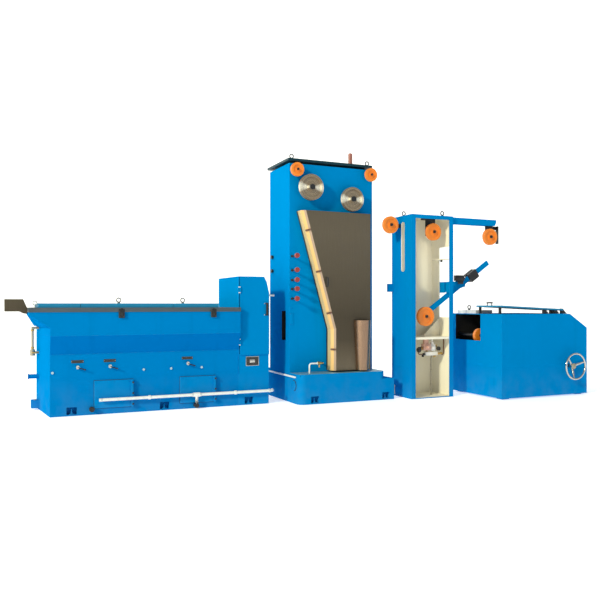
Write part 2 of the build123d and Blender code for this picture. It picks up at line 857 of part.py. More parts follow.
# Coolant pipe standing off the front on clips, turned back at its right end, with a tee in the middle
pipe_y = -pipe_stand_off
front_pipe = pipe(pipe_radius, [(pipe_start, pipe_y, pipe_height), (pipe_end, pipe_y, pipe_height),
                                (pipe_end, pipe_run_back, pipe_height)], pipe_bend_radius)
front_pipe += rod(pipe_fitting_radius, (pipe_tee_place - pipe_fitting_length / 2, pipe_y, pipe_height),
                  (pipe_tee_place + pipe_fitting_length / 2, pipe_y, pipe_height))
front_pipe += rod(pipe_radius, (pipe_tee_place, pipe_y, tee_coupling_level),
                  (pipe_tee_place, pipe_y, pipe_height))
front_pipe += rod(pipe_fitting_radius, (pipe_tee_place, pipe_y - pipe_radius, tee_coupling_level),
                  (pipe_tee_place, 0, tee_coupling_level))
coupling = rod(pipe_fitting_radius, (coupling_place, pipe_y, coupling_level),
               (coupling_place, 0, coupling_level))
clips = []
for x in pipe_clip_places:
    clip = block((x - pipe_clip_width / 2, x + pipe_clip_width / 2), (pipe_y, 0),
                 (pipe_height - plate / 2, pipe_height + plate / 2))
    clip += rod(pipe_radius + plate, (x - pipe_clip_width / 2, pipe_y, pipe_height),
                (x + pipe_clip_width / 2, pipe_y, pipe_height))
    clip -= rod(pipe_radius + running_gap, (x - pipe_clip_width, pipe_y, pipe_height),
                (x + pipe_clip_width, pipe_y, pipe_height))
    clips.append(clip)
nodes["coolant_pipe"] = Compound(children=[front_pipe, coupling] + clips)

# Stainless guide box before the trough, with a chute down to the rim
box_near, box_far = inlet_box_place - inlet_box_depth / 2, inlet_box_place + inlet_box_depth / 2
chute_end = -end_flare - rim_proud
guide = outline_y(
    [(inlet_box_left, inlet_box_low), (inlet_box_right, inlet_box_low), (chute_end, tank_top_height),
     (chute_end, rim_top), (inlet_box_right, inlet_box_top), (inlet_box_left, inlet_box_top)],
    (box_near, box_far))
guide -= outline_y(
    [(inlet_box_left - overrun, inlet_box_low + inlet_sheet), (inlet_box_right, inlet_box_low + inlet_sheet),
     (chute_end + overrun, tank_top_height + inlet_sheet), (chute_end + overrun, rim_top - inlet_sheet),
     (inlet_box_right, inlet_box_top - inlet_sheet), (inlet_box_left - overrun, inlet_box_top - inlet_sheet)],
    (box_near + inlet_sheet, box_far - inlet_sheet))
guide += outline_y(
    [(inlet_box_right - inlet_drip * 2, inlet_box_low), (inlet_box_right, inlet_box_low),
     (chute_end, tank_top_height), (chute_end, tank_top_height - inlet_drip),
     (inlet_box_right, inlet_box_low - inlet_drip)], (box_near, box_far))
nodes["inlet_guide_box"] = guide

# Pipework and foot lug on the left end
end_x = -end_pipe_stand_off
slanted_end = draw_base + outline_z(
    [(0, tank_front), (draw_length, tank_front), (draw_length, draw_depth), (-end_slant, draw_depth), (0, 0)],
    (tank_floor_height, flare_foot_height))
end_pipe = rod(end_pipe_radius, (end_x, end_pipe_place, end_pipe_low),
               (end_x, end_pipe_place, end_pipe_high + end_pipe_radius))
end_pipe += rod(end_pipe_radius, (end_x, end_pipe_place, end_pipe_high),
                (0, end_pipe_place, end_pipe_high))
end_pipe += rod(end_valve_radius, (end_x, end_pipe_place, end_pipe_low - end_valve_length / 2),
                (end_x, end_pipe_place, end_pipe_low + end_valve_length / 2))
end_pipe += rod(end_pipe_radius, (end_x, end_pipe_place, end_pipe_low), (0, end_pipe_place, end_pipe_low))
end_pipe -= slanted_end
draw_base += rod(end_stub_radius, (-end_stub_length, end_pipe_place, end_stub_height),
                 (0, end_pipe_place, end_stub_height))
draw_base += rod(end_stub_radius + plate, (-end_stub_length, end_pipe_place, end_stub_height),
                 (-end_stub_length + thick_plate, end_pipe_place, end_stub_height))
lug = block((-foot_lug_length, 0), (end_pipe_place - foot_lug_width / 2, end_pipe_place + foot_lug_width / 2),
            (foot_lug_low, foot_lug_high))
nodes["draw_base"] = draw_base + chamfer(lug.edges().group_by(Axis.X)[0], edge_round)

# Annealer plinth: a rounded base with a tray lip, and a lower toe at its right end
tower_right = tower_left + tower_width
tower_back = tower_front + tower_depth
plinth_back = tower_back + plinth_back_margin
plinth_top = plinth_height
lip_top = plinth_height + tray_lip_height
tray_right = tower_right + tray_right_margin
plinth = block((tower_left, tray_right), (plinth_front, plinth_back), (0, lip_top))
plinth = fillet(plinth.edges().filter_by(Axis.Z).group_by(Axis.Y)[0], plinth_corner_round)
plinth -= block((tower_left + tray_lip_width, tray_right - tray_lip_width),
                (plinth_front + tray_lip_width, plinth_back - tray_lip_width),
                (plinth_top, lip_top + overrun))
toe = block((tower_left + tower_width / 2, tower_right + plinth_toe_length),
            (plinth_front, plinth_back), (0, plinth_toe_height))
toe_edges = toe.edges().filter_by(Axis.Z)
far_toe_edge = toe_edges.sort_by(SortBy.DISTANCE)[-1:]
near_toe_edge = toe_edges.group_by(Axis.X)[-1].sort_by(Axis.Y)[:1]
toe = fillet(far_toe_edge + near_toe_edge, plate)
plinth += toe
for left in (plinth_pocket_left, plinth_pocket_right):
    plinth -= anchor_pocket(left, plinth_front)
nodes["annealer_plinth"] = plinth

# Tower body, with the blind wire window in its left side
tower = block((tower_left + tray_lip_width + seat_gap, tower_right - tray_lip_width - seat_gap),
              (tower_front, tower_back), (plinth_top, lip_top))
tower += block((tower_left, tower_right), (tower_front, tower_back), (lip_top, tower_height))
tower -= block((tower_left - overrun, tower_left + window_depth), (window_near, window_far),
               (window_low, window_high))
nodes["annealer_tower"] = tower

# Roof plate carried clear of the tower on two blocks, with its lifting eyes
roof_low = tower_height + roof_gap
roof = block((tower_left - roof_overhang, tower_right - roof_overhang / 2),
             (tower_front - roof_overhang, tower_back + roof_overhang), (roof_low, roof_low + roof_thick))
for left in (tower_left + roof_block_width, tower_right - 2 * roof_block_width):
    roof += block((left, left + roof_block_width),
                  (tower_front + roof_block_width, tower_back - roof_block_width),
                  (tower_height, roof_low))
nodes["roof_plate"] = roof
roof_top = roof_low + roof_thick
eyes = [lifting_eye(x, tower_front + tower_eye_inset, roof_top)
        for x in (tower_left + tower_eye_inset, tower_right - tower_eye_inset)]

# Signal lamp on the roof
lamp = Pos(lamp_place, tower_front + tower_eye_inset, roof_top + lamp_foot_height / 2) * Cylinder(
    lamp_foot_radius, lamp_foot_height)
dome = rod(lamp_radius, (lamp_place, tower_front + tower_eye_inset, roof_top + lamp_foot_height),
           (lamp_place, tower_front + tower_eye_inset, roof_top + lamp_foot_height + lamp_height))
dome = fillet(dome.edges().group_by(Axis.Z)[-1], lamp_radius - plate)
nodes["signal_lamp"] = lamp + dome

# Seat frame on the tower's front that the cover closes against
cover_low_level = lip_top + cover_floor_gap
cover_outline = [(cover_bend_left, cover_low_level), (cover_right, cover_low_level),
                 (cover_right, cover_top_level), (cover_top_left, cover_top_level),
                 (cover_bend_left, cover_bend_level)]
slope = atan2(cover_bend_left - cover_top_left, cover_top_level - cover_bend_level)


def inner_outline(wall):
    """The cover's outline moved inwards by one wall."""
    side = wall / cos(slope)
    knee = wall * tan(slope / 2)
    top_left = cover_top_left + side + wall * tan(slope)
    return [(cover_bend_left + wall, cover_low_level + wall), (cover_right - wall, cover_low_level + wall),
            (cover_right - wall, cover_top_level - wall), (top_left, cover_top_level - wall),
            (cover_bend_left + wall, cover_bend_level - knee)]


frame_front = tower_front - frame_depth
seat_frame = outline_y(cover_outline, (frame_front, tower_front))
seat_frame -= outline_y(inner_outline(frame_sheet * 2), (frame_front - overrun, tower_front + overrun))
nodes["cover_frame"] = seat_frame

# Stainless cover, an open-backed box hinged at its right side
cover_back = frame_front - seat_gap
cover_front = tower_front - cover_depth


def bevelled(outline, front, back, bevel):
    """A block along Y whose left front edges are cut off at 45 degrees."""
    solid = outline_y(outline, (front, back))
    left_edges = [edge for edge in solid.edges().group_by(Axis.Y)[0]
                  if edge.center().X < cover_bend_left + bevel]
    return chamfer(left_edges, bevel)


inner_bevel = cover_bevel - cover_sheet * (2 - 1 / cos(radians(45)))
shell = bevelled(cover_outline, cover_front, cover_back, cover_bevel)
shell -= bevelled(inner_outline(cover_sheet), cover_front + cover_sheet, cover_back + overrun, inner_bevel)
cover_pin_x = cover_right + cover_hinge_offset
cover_pin_y = cover_back - barrel_radius
cover_ears = []
for level in cover_hinge_levels:
    low, high = level - cover_hinge_length / 2, level + cover_hinge_length / 2
    shell += rod(barrel_radius, (cover_pin_x, cover_pin_y, low), (cover_pin_x, cover_pin_y, high))
    shell += block((cover_right, cover_pin_x), (cover_pin_y - ear_radius, cover_pin_y + ear_radius),
                   (low, high))
    for ear_low in (low - seat_gap - ear_height, high + seat_gap):
        cover_ears.append(block((cover_pin_x - barrel_radius, cover_pin_x + barrel_radius),
                                (cover_pin_y - ear_radius, tower_front), (ear_low, ear_low + ear_height)))
nodes["annealer_cover"] = shell
nodes["hinge_ears"] = Compound(children=door_ears + cover_ears)

# Tapered half can on the cover's front, open at the top, with one rolled ring
can_low_level = cover_low_level


def half_cone(low_radius, top_radius, low, top):
    """The front half of a cone standing against the cover's front."""
    cone = Pos(can_centre, cover_front, (low + top) / 2) * Cone(low_radius, top_radius, top - low)
    return cone & block((can_centre - 2 * top_radius, can_centre + 2 * top_radius),
                        (cover_front - 2 * top_radius, cover_front), (low, top))


can = half_cone(can_low_radius, can_top_radius, can_low_level, can_top_level)
can -= Pos(0, -can_sheet, can_sheet) * half_cone(
    can_low_radius - can_sheet, can_top_radius - can_sheet, can_low_level, can_top_level)
can_slope = (can_top_radius - can_low_radius) / (can_top_level - can_low_level)


def can_radius(level):
    """The can's outer radius at a height."""
    return can_low_radius + can_slope * (level - can_low_level)


ring_top = can_ring_level + can_ring_height
ring = half_cone(can_radius(can_ring_level) + can_ring_proud, can_radius(ring_top) + can_ring_proud,
                 can_ring_level, ring_top)
ring -= half_cone(can_radius(can_ring_level) - can_ring_proud, can_radius(ring_top) - can_ring_proud,
                  can_ring_level, ring_top)
nodes["cover_can"] = can + ring

# Clamps across the cover's bevelled left edge, and a grip beside them
clamps = []
for level in clamp_levels:
    drop = min(max(cover_top_level - level, 0), cover_top_level - cover_bend_level)
    edge = cover_top_left + drop * tan(slope)
    tilt = degrees(slope) if level > cover_bend_level else 0
    clamp = block((-clamp_length / 2, clamp_length / 2), (-clamp_thick, 0),
                  (-clamp_width / 2, clamp_width / 2))
    clamp = fillet(clamp.edges().filter_by(Axis.Y), clamp_width / 4)
    clamp += rod(clamp_width / 3, (0, -clamp_knob, 0), (0, 0, 0))
    side = cover_bevel / 2 / cos(radians(tilt))
    clamps.append(Pos(edge + side, cover_front + cover_bevel / 2, level) * Rot(Y=-tilt) * Rot(Z=-45) * clamp)
hold = rod(clamp_thick / 2, (grip_place, cover_front - grip_proud, grip_level - grip_length / 2),
           (grip_place, cover_front - grip_proud, grip_level + grip_length / 2))
for end in (grip_level - grip_length / 2 + clamp_thick / 2, grip_level + grip_length / 2 - clamp_thick / 2):
    hold += rod(clamp_thick / 3, (grip_place, cover_front - grip_proud, end), (grip_place, cover_front, end))
clamps.append(hold)
nodes["cover_clamps"] = Compound(children=clamps)

# Contact sheaves above the cover and guide sheaves at the tower's upper corners
contact_y = tower_front - contact_stand_off - contact_hub_length / 2
guide_y = tower_front - guide_stand_off - guide_hub_length / 2
contact_places = {"contact_sheave_left": (contact_left_place, contact_left_level, contact_left_radius),
                  "contact_sheave_right": (contact_right_place, contact_right_level, contact_right_radius)}
guide_places = {"guide_sheave_left": (guide_left_place, guide_left_level),
                "guide_sheave_right": (guide_right_place, guide_right_level)}
spindles = []
for name, (x, z, radius) in contact_places.items():
    nodes[name] = sheave(radius, contact_width, contact_groove, contact_hub_radius, contact_hub_length,
                         contact_bore_radius, (x, contact_y, z))
    spindles.append(spindle(contact_bore_radius, contact_hub_length, (x, contact_y, z), tower_front))
for name, (x, z) in guide_places.items():
    nodes[name] = sheave(guide_radius, guide_width, guide_groove, guide_hub_radius, guide_hub_length,
                         guide_bore_radius, (x, guide_y, z))
    spindles.append(spindle(guide_bore_radius, guide_hub_length, (x, guide_y, z), tower_front))

# Lower contact sheaves and the steam tube behind the cover
lower_y = -(frame_depth + cover_depth) / 2
lower = []
for x in (lower_sheave_left, lower_sheave_right):
    wheel = rod(lower_sheave_radius, (x, lower_y - guide_width / 2, lower_sheave_level),
                (x, lower_y + guide_width / 2, lower_sheave_level))
    wheel += rod(guide_hub_radius, (x, lower_y, lower_sheave_level), (x, tower_front, lower_sheave_level))
    lower.append(wheel)
steam_x = (contact_left_place + lower_sheave_left) / 2 + cover_depth / 2
steam = rod(steam_tube_radius, (steam_x, lower_y, steam_tube_low), (steam_x, lower_y, steam_tube_high))
for level in (steam_tube_low, steam_tube_high):
    steam += rod(guide_hub_radius, (steam_x, lower_y, level), (steam_x, tower_front, level))
lower.append(steam)
nodes["lower_annealing_set"] = Compound(children=lower)

# Red flow valves on long stems, and the caps on the tower's left side
valves = []
for level in valve_levels:
    near = tower_front
    valve = rod(valve_flange_radius, (valve_place, near, level),
                (valve_place, near - valve_flange_thick, level))
    valve += rod(valve_stem_radius, (valve_place, near, level),
                 (valve_place, near - valve_stem_length, level))
    knob = rod(valve_radius, (valve_place, near - valve_stem_length, level),
               (valve_place, near - valve_stem_length - valve_length, level))
    valve += fillet(knob.edges().group_by(Axis.Y)[0], edge_round)
    valves.append(valve)
nodes["flow_valves"] = Compound(children=valves)
caps = [rod(side_cap_radius, (tower_left - side_cap_length, side_cap_depth, level),
            (tower_left, side_cap_depth, level)) for level in side_cap_levels]
nodes["blanking_caps"] = Compound(children=plugs + caps)

# Pipework that stands in the tray, and the drain line along the plinth's left side
tray_pipe_end = tray_pipe_place + tray_pipe_run
tray_pipe = pipe(tray_pipe_radius, [(tray_pipe_place, tray_pipe_front, plinth_top),
                                    (tray_pipe_place, tray_pipe_front, tray_pipe_level),
                                    (tray_pipe_end, tray_pipe_front, tray_pipe_level),
                                    (tray_pipe_end, tower_front - seat_gap, tray_pipe_level)],
                 3 * tray_pipe_radius)
valve_x = tray_pipe_place + tray_pipe_run * 2 / 3
tray_pipe += rod(tray_valve_radius, (valve_x - tray_valve_length / 2, tray_pipe_front, tray_pipe_level),
                 (valve_x + tray_valve_length / 2, tray_pipe_front, tray_pipe_level))
tray_pipe += rod(tray_pipe_radius, (valve_x, tray_pipe_front, tray_pipe_level),
                 (valve_x, tray_pipe_front, tray_pipe_level - tray_valve_length))
drain_x = tower_left - drip_pipe_radius - seat_gap
drain_near = plinth_front + plinth_corner_round + drip_pipe_radius
drain = rod(drip_pipe_radius, (drain_x, drain_near, drip_pipe_level),
            (drain_x, drain_near + drip_pipe_length, drip_pipe_level))
nodes["end_pipe"] = end_pipe
nodes["tower_pipework"] = Compound(children=[tray_pipe, drain])

# Dancer column: an open-fronted box of sheet with a turned flange on its left wall
column_right = column_left + column_width
column_back = column_front + column_depth
column = block((column_left, column_right), (column_front, column_back), (0, column_height))
column -= block((column_left + column_wall, column_right - column_wall),
                (column_front - overrun, column_back - column_wall),
                (column_wall, column_height - column_wall))
column += block((column_left, column_left + flange_width), (column_front, column_front + column_wall),
                (0, column_height))
column += block((column_right - flange_width, column_right), (column_front, column_front + column_wall),
                (0, column_height))
slot = block((column_left - overrun, column_left + column_wall + overrun),
             (slot_place - slot_width / 2, slot_place + slot_width / 2), (slot_low, slot_high))
slot = fillet(slot.edges().filter_by(Axis.X), slot_width / 2 - plate)
column -= slot
column -= block((column_right - column_wall - overrun, column_right + overrun),
                (window_wall_near, window_wall_far), (window_wall_low, window_wall_high))
column -= block((column_left - overrun, column_left + column_wall + overrun),
                (column_pocket_near, column_pocket_far), (pocket_sill, column_pocket_high))
lug = block((column_left - column_lug_length, column_left), (column_lug_far, column_lug_near),
            (column_lug_low, column_lug_high))
nodes["dancer_column"] = column + chamfer(lug.edges().group_by(Axis.X)[0], edge_round)

# Shelf and its gusset inside the column
inside_left, inside_right = column_left + column_wall, column_right - column_wall
shelf = block((inside_left, inside_right), (column_front + column_wall, column_back - column_wall),
              (shelf_level, shelf_level + shelf_thick))
shelf_top = shelf_level + shelf_thick
gusset = outline_y([(inside_right, shelf_top), (inside_right, shelf_top + gusset_rise),
                    (inside_right - gusset_run, shelf_top)], (gusset_place, gusset_place + gusset_thick))
stop_plate = block((inside_right - stop_reach, inside_right),
                   (window_wall_near - stop_lap, window_wall_far + stop_lap),
                   (stop_level, stop_level + thick_plate))
nodes["column_shelf"] = Compound(children=[shelf + gusset, stop_plate])
eyes += [lifting_eye(column_left + right, column_front + back, column_height)
         for right, back in column_eye_insets]

# Entry sheave left of the column, on a bracket plate from the column's left wall
entry_centre = (entry_place, entry_depth_place, entry_level)
nodes["entry_sheave"] = sheave(entry_radius, wide_sheave_width, guide_groove, wide_hub_radius,
                               wide_hub_length, wide_bore_radius, entry_centre)
entry_root = entry_depth_place + wide_stand_off
entry_bracket = spindle(wide_bore_radius, wide_hub_length, entry_centre, entry_root)
entry_bracket += block((entry_place - wide_hub_radius, column_left),
                       (entry_root, entry_root + boom_bracket_thick),
                       (entry_level - boom_bracket_width / 2, entry_level + boom_bracket_width / 2))

# Inner sheave at the top of the column, on a black bracket from its top
inner_centre = (inner_place, inner_depth_place, inner_level)
nodes["inner_sheave"] = sheave(inner_radius, wide_sheave_width, guide_groove, wide_hub_radius,
                               wide_hub_length, wide_bore_radius, inner_centre)
inner_root = inner_depth_place + wide_stand_off
column_inside_top = column_height - column_wall
inner_bracket = spindle(wide_bore_radius, wide_hub_length, inner_centre, inner_root)
inner_bracket += block((inner_place - inner_bracket_width / 2, inner_place + inner_bracket_width / 2),
                       (inner_root, inner_root + boom_bracket_thick),
                       (inner_level - boom_bracket_width, column_inside_top))
inner_bracket += block((inner_place - inner_bracket_width, inner_place),
                       (inner_root - wide_stand_off, inner_root),
                       (column_inside_top - inner_bracket_height, column_inside_top))

# Boom from the column's top to the take-up, with its sheave on a bent bracket
boom = outline_y([(column_right, boom_low), (boom_end - boom_chamfer / 2, boom_low),
                  (boom_end, boom_low + boom_chamfer),
                  (boom_end, boom_high), (column_right, boom_high)],
                 (boom_place - boom_width / 2, boom_place + boom_width / 2))
nodes["boom"] = boom
boom_sheave_centre = (boom_sheave_place, boom_place - boom_width / 2, boom_sheave_level)
nodes["boom_sheave"] = sheave(boom_sheave_radius, wide_sheave_width, guide_groove, wide_hub_radius,
                              wide_hub_length, wide_bore_radius, boom_sheave_centre)
boom_root = boom_sheave_centre[1] + wide_stand_off
bracket = spindle(wide_bore_radius, wide_hub_length, boom_sheave_centre, boom_root)
bracket += block((boom_sheave_place - boom_bracket_width / 2, boom_sheave_place + boom_bracket_width / 2),
                 (boom_root, boom_root + boom_bracket_thick),
                 (boom_sheave_level - boom_bracket_width, boom_low))
bracket += block((boom_sheave_place - boom_bracket_width / 2, boom_end + boom_bracket_width),
                 (boom_root, boom_root + boom_bracket_thick), (boom_low - boom_bracket_width, boom_low))
bracket += block((boom_end + boom_bracket_width - boom_bracket_thick, boom_end + boom_bracket_width),
                 (boom_root - boom_bracket_width, boom_root), (boom_low - boom_bracket_drop, boom_low))
stop_x = column_right - column_wall - stop_reach / 2
stop_low = stop_level - stop_buffer_length
stop_buffer = rod(stop_buffer_radius, (stop_x, arm_place, stop_low), (stop_x, arm_place, stop_level))
nodes["column_brackets"] = Compound(children=[entry_bracket, inner_bracket, bracket, stop_buffer])

# Dancer arm: it turns on a bracket outside the right wall and reaches in through the window
arm_angle = atan2(arm_sheave_level - pivot_level, arm_sheave_place - pivot_place)
arm_reach = ((pivot_place - arm_sheave_place) ** 2 + (pivot_level - arm_sheave_level) ** 2) ** 0.5
arm_turn = Pos(pivot_place, 0, pivot_level) * Rot(Y=-degrees(arm_angle))
arm_y = (arm_place - arm_thick / 2, arm_place + arm_thick / 2)
arm = block((-arm_tail, arm_reach), arm_y, (-arm_height / 2, arm_height / 2))
boss_y = (arm_place - pivot_boss_width / 2, arm_place + pivot_boss_width / 2)
arm += rod(pivot_boss_radius, (0, boss_y[0], 0), (0, boss_y[1], 0))
arm -= rod(pivot_pin_radius, (0, arm_y[0] - overrun, 0), (0, arm_y[1] + overrun, 0))
arm += rod(wide_hub_radius, (arm_reach, arm_y[0], 0), (arm_reach, arm_y[1], 0))
nodes["dancer_arm"] = arm_turn * arm
weight = block((-counterweight_distance - counterweight_length, -counterweight_distance),
               (arm_y[1], arm_y[1] + counterweight_width / 2),
               (-counterweight_height / 2, counterweight_height / 2))
weight += block((-counterweight_distance - counterweight_length, -counterweight_distance),
                (arm_y[0] - counterweight_width / 2, arm_y[0]),
                (-counterweight_height / 2, counterweight_height / 2))
weight += block((-counterweight_distance - counterweight_length, -counterweight_distance),
                arm_y, (arm_height / 2, counterweight_height / 2))
weight = arm_turn * chamfer(weight.edges().filter_by(Axis.Y), edge_round)
arm_hub_y = arm_y[0] - wide_stand_off
arm_sheave_centre = (arm_sheave_place, arm_hub_y + wide_hub_length / 2 - wide_stand_off / 2, arm_sheave_level)
nodes["dancer_sheave"] = sheave(arm_sheave_radius, wide_sheave_width, guide_groove, wide_hub_radius,
                                wide_hub_length, wide_bore_radius, arm_sheave_centre)
nodes["arm_fittings"] = Compound(children=[
    weight, spindle(wide_bore_radius, wide_hub_length, arm_sheave_centre, arm_y[0])])

# Pivot bracket on the column's outside, with a pin through the arm's boss
bracket_near = boss_y[0] - seat_gap - pivot_bracket_thick
bracket_far = boss_y[1] + seat_gap
bracket_low, bracket_high = pivot_level - pivot_bracket_width, pivot_level + pivot_bracket_drop
pivot_bracket = rod(pivot_pin_radius - running_gap, (pivot_place, bracket_near, pivot_level),
                    (pivot_place, bracket_far + pivot_bracket_thick, pivot_level))
for near in (bracket_near, bracket_far):
    pivot_bracket += outline_y([(column_right, bracket_low), (column_right, bracket_high),
                                (pivot_place + pivot_boss_radius, pivot_level + pivot_boss_radius),
                                (pivot_place + pivot_boss_radius, pivot_level - pivot_boss_radius)],
                               (near, near + pivot_bracket_thick))
for near, far in ((window_wall_near - pivot_foot_overlap, bracket_near + pivot_bracket_thick),
                  (bracket_far, window_wall_far + pivot_foot_overlap)):
    pivot_bracket += block((column_right, column_right + pivot_foot_thick), (near, far),
                           (bracket_low, bracket_high))
nodes["pivot_bracket"] = pivot_bracket

# Air service unit hung under the shelf
air_x = column_left + column_width * 2 / 5
air_y = column_front + column_depth / 3
air = block((air_x - air_block_width / 2, air_x + air_block_width / 2),
            (air_y, air_y + air_block_depth), (shelf_level - air_block_height, shelf_level))
air = fillet(air.edges().filter_by(Axis.Z), edge_round)
for x in (air_x - air_block_width / 4, air_x + air_block_width / 4):
    air += rod(air_bowl_radius / 2 + edge_round,
               (x, air_y + air_block_depth / 2, shelf_level - air_block_height),
               (x, air_y + air_block_depth / 2, shelf_level - air_block_height - air_bowl_height))
nut_x = air_x + air_block_width / 2
tube_x = nut_x + air_block_width / 2
tube_level = shelf_level - air_block_height / 2
air_tube = rod(air_nut_radius, (nut_x, air_y + air_block_depth / 2, tube_level),
               (nut_x + air_nut_length, air_y + air_block_depth / 2, tube_level))
air_tube += pipe(air_tube_radius, [(nut_x, air_y + air_block_depth / 2, tube_level),
                                   (tube_x + air_block_width / 2, air_y + air_block_depth / 2, tube_level),
                                   (tube_x + air_block_width / 2, air_y + air_block_depth / 2, column_wall)],
                 3 * air_tube_radius)
nodes["air_unit"] = air + air_tube

# Take-up cabinet: sheet housing with a side opening, a top hole and a chamfered right shoulder
takeup_back = takeup_front + takeup_depth


def cabinet_outline(wall, low):
    """The cabinet's front outline with its sloping right shoulder, moved inwards by one wall."""
    left, right, top = takeup_left + wall, takeup_right - wall, takeup_height - wall
    return [(left, low), (right, low), (right, top - takeup_chamfer_drop),
            (right - takeup_chamfer_run, top), (left, top)]


cabinet_low = takeup_foot
cabinet = outline_y(cabinet_outline(0, cabinet_low), (takeup_front, takeup_back))
cabinet -= outline_y(cabinet_outline(takeup_wall, cabinet_low + takeup_wall),
                     (takeup_front + takeup_wall, takeup_back - takeup_wall))
cabinet -= block((takeup_left - overrun, takeup_left + takeup_wall + overrun), (opening_near, opening_far),
                 (opening_sill, takeup_height - takeup_wall))
cabinet -= block((top_hole_left, top_hole_right), (top_hole_near, top_hole_far),
                 (takeup_height - takeup_wall - overrun, takeup_height + overrun))
cabinet -= block((wire_slot_left, wire_slot_right), (wire_slot_near, wire_slot_far),
                 (takeup_height - takeup_wall - overrun, takeup_height + overrun))
for x in (takeup_left + takeup_foot_inset, takeup_right - takeup_foot_inset - pocket_width):
    for y in (takeup_front + takeup_foot_inset, takeup_back - takeup_foot_inset - pocket_width):
        cabinet += block((x, x + pocket_width), (y, y + pocket_width), (0, cabinet_low))
nodes["takeup_housing"] = cabinet
slot_frame = block((wire_slot_left - slot_frame_lap, wire_slot_right + slot_frame_lap),
                   (wire_slot_near - thick_plate, wire_slot_far + slot_frame_lap),
                   (takeup_height, takeup_height + slot_frame_height))
slot_frame -= block((wire_slot_left, wire_slot_right), (wire_slot_near, wire_slot_far),
                    (takeup_height - overrun, takeup_height + slot_frame_height + overrun))
nodes["slot_frame"] = slot_frame
slot_eye_y = wire_slot_far + slot_frame_lap / 2
eyes.append(lifting_eye(slot_eye_place, slot_eye_y, takeup_height + slot_frame_height))
nodes["lifting_eyes"] = Compound(children=eyes)

# Guard over the top hole, hinged at its right end and resting a little open at its left
guard_low = takeup_height + seat_gap
guard_pin_z = guard_low + guard_hinge_radius + guard_raise
guard_edge = guard_right - 4 * guard_hinge_radius
guard_flat = block((guard_left, guard_edge), (guard_near, guard_far),
                   (guard_pin_z - guard_thick / 2, guard_pin_z + guard_thick / 2))
guard_pin_radius = guard_hinge_radius / 2
for near in (guard_near + guard_hinge_length, guard_far - 2 * guard_hinge_length):
    far = near + guard_hinge_length
    guard_flat += block((guard_edge, guard_right), (near, far),
                        (guard_pin_z - guard_thick / 2, guard_pin_z + guard_thick / 2))
    guard_flat += rod(guard_hinge_radius, (guard_right, near, guard_pin_z), (guard_right, far, guard_pin_z))
    guard_flat += rod(guard_pin_radius, (guard_right, near - stay_width, guard_pin_z),
                      (guard_right, far + stay_width, guard_pin_z))
guard_turn = Pos(guard_right, 0, guard_pin_z) * Rot(Y=guard_lift_angle) * Pos(-guard_right, 0, -guard_pin_z)
nodes["guard_lid"] = guard_turn * guard_flat
grip_z = guard_pin_z + guard_thick / 2 + guard_handle_rise
grip_y = (guard_near + guard_far) / 2
grip_x = guard_left + 2 * guard_handle_radius
grip = rod(guard_handle_radius, (grip_x, grip_y - guard_handle_length / 2, grip_z),
           (grip_x, grip_y + guard_handle_length / 2, grip_z))
grip_half = guard_handle_length / 2 - guard_handle_radius
for y in (grip_y - grip_half, grip_y + grip_half):
    grip += rod(guard_handle_radius * 2 / 3, (grip_x, y, guard_pin_z + guard_thick / 2), (grip_x, y, grip_z))
nodes["guard_handle"] = guard_turn * grip

# Stay brackets that carry the guard's hinge at its right end
stays = []
for near in (guard_near + guard_hinge_length, guard_far - 2 * guard_hinge_length):
    for side in (near - seat_gap - stay_width, near + guard_hinge_length + seat_gap):
        stay = outline_y([(guard_right - guard_hinge_radius, takeup_height),
                          (guard_right - guard_hinge_radius, takeup_height + stay_height / 2),
                          (guard_right + guard_hinge_radius, takeup_height + stay_height / 2),
                          (guard_right + stay_length / 2, takeup_height)], (side, side + stay_width))
        stay -= rod(guard_pin_radius + running_gap, (guard_right, side - overrun, guard_pin_z),
                    (guard_right, side + stay_width + overrun, guard_pin_z))
        stays.append(stay)
buffer_x = guard_left + 2 * guard_buffer_radius
buffer_rise = (guard_right - buffer_x) * tan(radians(guard_lift_angle))
buffer_top = guard_pin_z + buffer_rise - (guard_thick / 2 + seat_gap) / cos(radians(guard_lift_angle))
buffer_top -= guard_buffer_radius * tan(radians(guard_lift_angle))
for y in (guard_near + guard_hinge_length / 2, guard_far - guard_hinge_length / 2):
    stays.append(block((buffer_x - guard_buffer_radius, buffer_x + guard_buffer_radius),
                       (y - guard_buffer_radius, y + guard_buffer_radius), (takeup_height, buffer_top)))
nodes["guard_stays"] = Compound(children=stays)

# Spool on its shaft, the traverse bar and the entry roller inside the cabinet
spool_near = (takeup_front + takeup_back) / 2 - spool_width / 2
spool = rod(spool_core_radius, (spool_place, spool_near, spool_level),
            (spool_place, spool_near + spool_width, spool_level))
for near in (spool_near, spool_near + spool_width - spool_flange):
    spool += rod(spool_radius, (spool_place, near, spool_level),
                 (spool_place, near + spool_flange, spool_level))
spool += rod(spool_bore_radius, (spool_place, takeup_front + takeup_wall, spool_level),
             (spool_place, takeup_back - takeup_wall, spool_level))
nodes["spool"] = spool
traverse = rod(traverse_radius, (roller_place, takeup_front + takeup_wall, roller_level),
               (roller_place, takeup_back - takeup_wall, roller_level))
spindles.append(traverse)
roller = rod(roller_radius, (roller_place, roller_depth_place - roller_width / 2, roller_level),
             (roller_place, roller_depth_place + roller_width / 2, roller_level))
roller -= rod(traverse_radius + running_gap, (roller_place, roller_depth_place - roller_width, roller_level),
              (roller_place, roller_depth_place + roller_width, roller_level))
nodes["entry_roller"] = roller

# Dished handwheel on the front, its rim carried nearer the operator on three spokes
wheel_y = takeup_front - wheel_stand_off
rim_y = wheel_y - wheel_dish
rim_circle = wheel_radius - wheel_rim_radius


def wheel_point(turn, radius, y=wheel_y):
    """A point on the handwheel at an angle and a distance from its middle."""
    return (wheel_place + radius * cos(turn), y, wheel_level + radius * sin(turn))


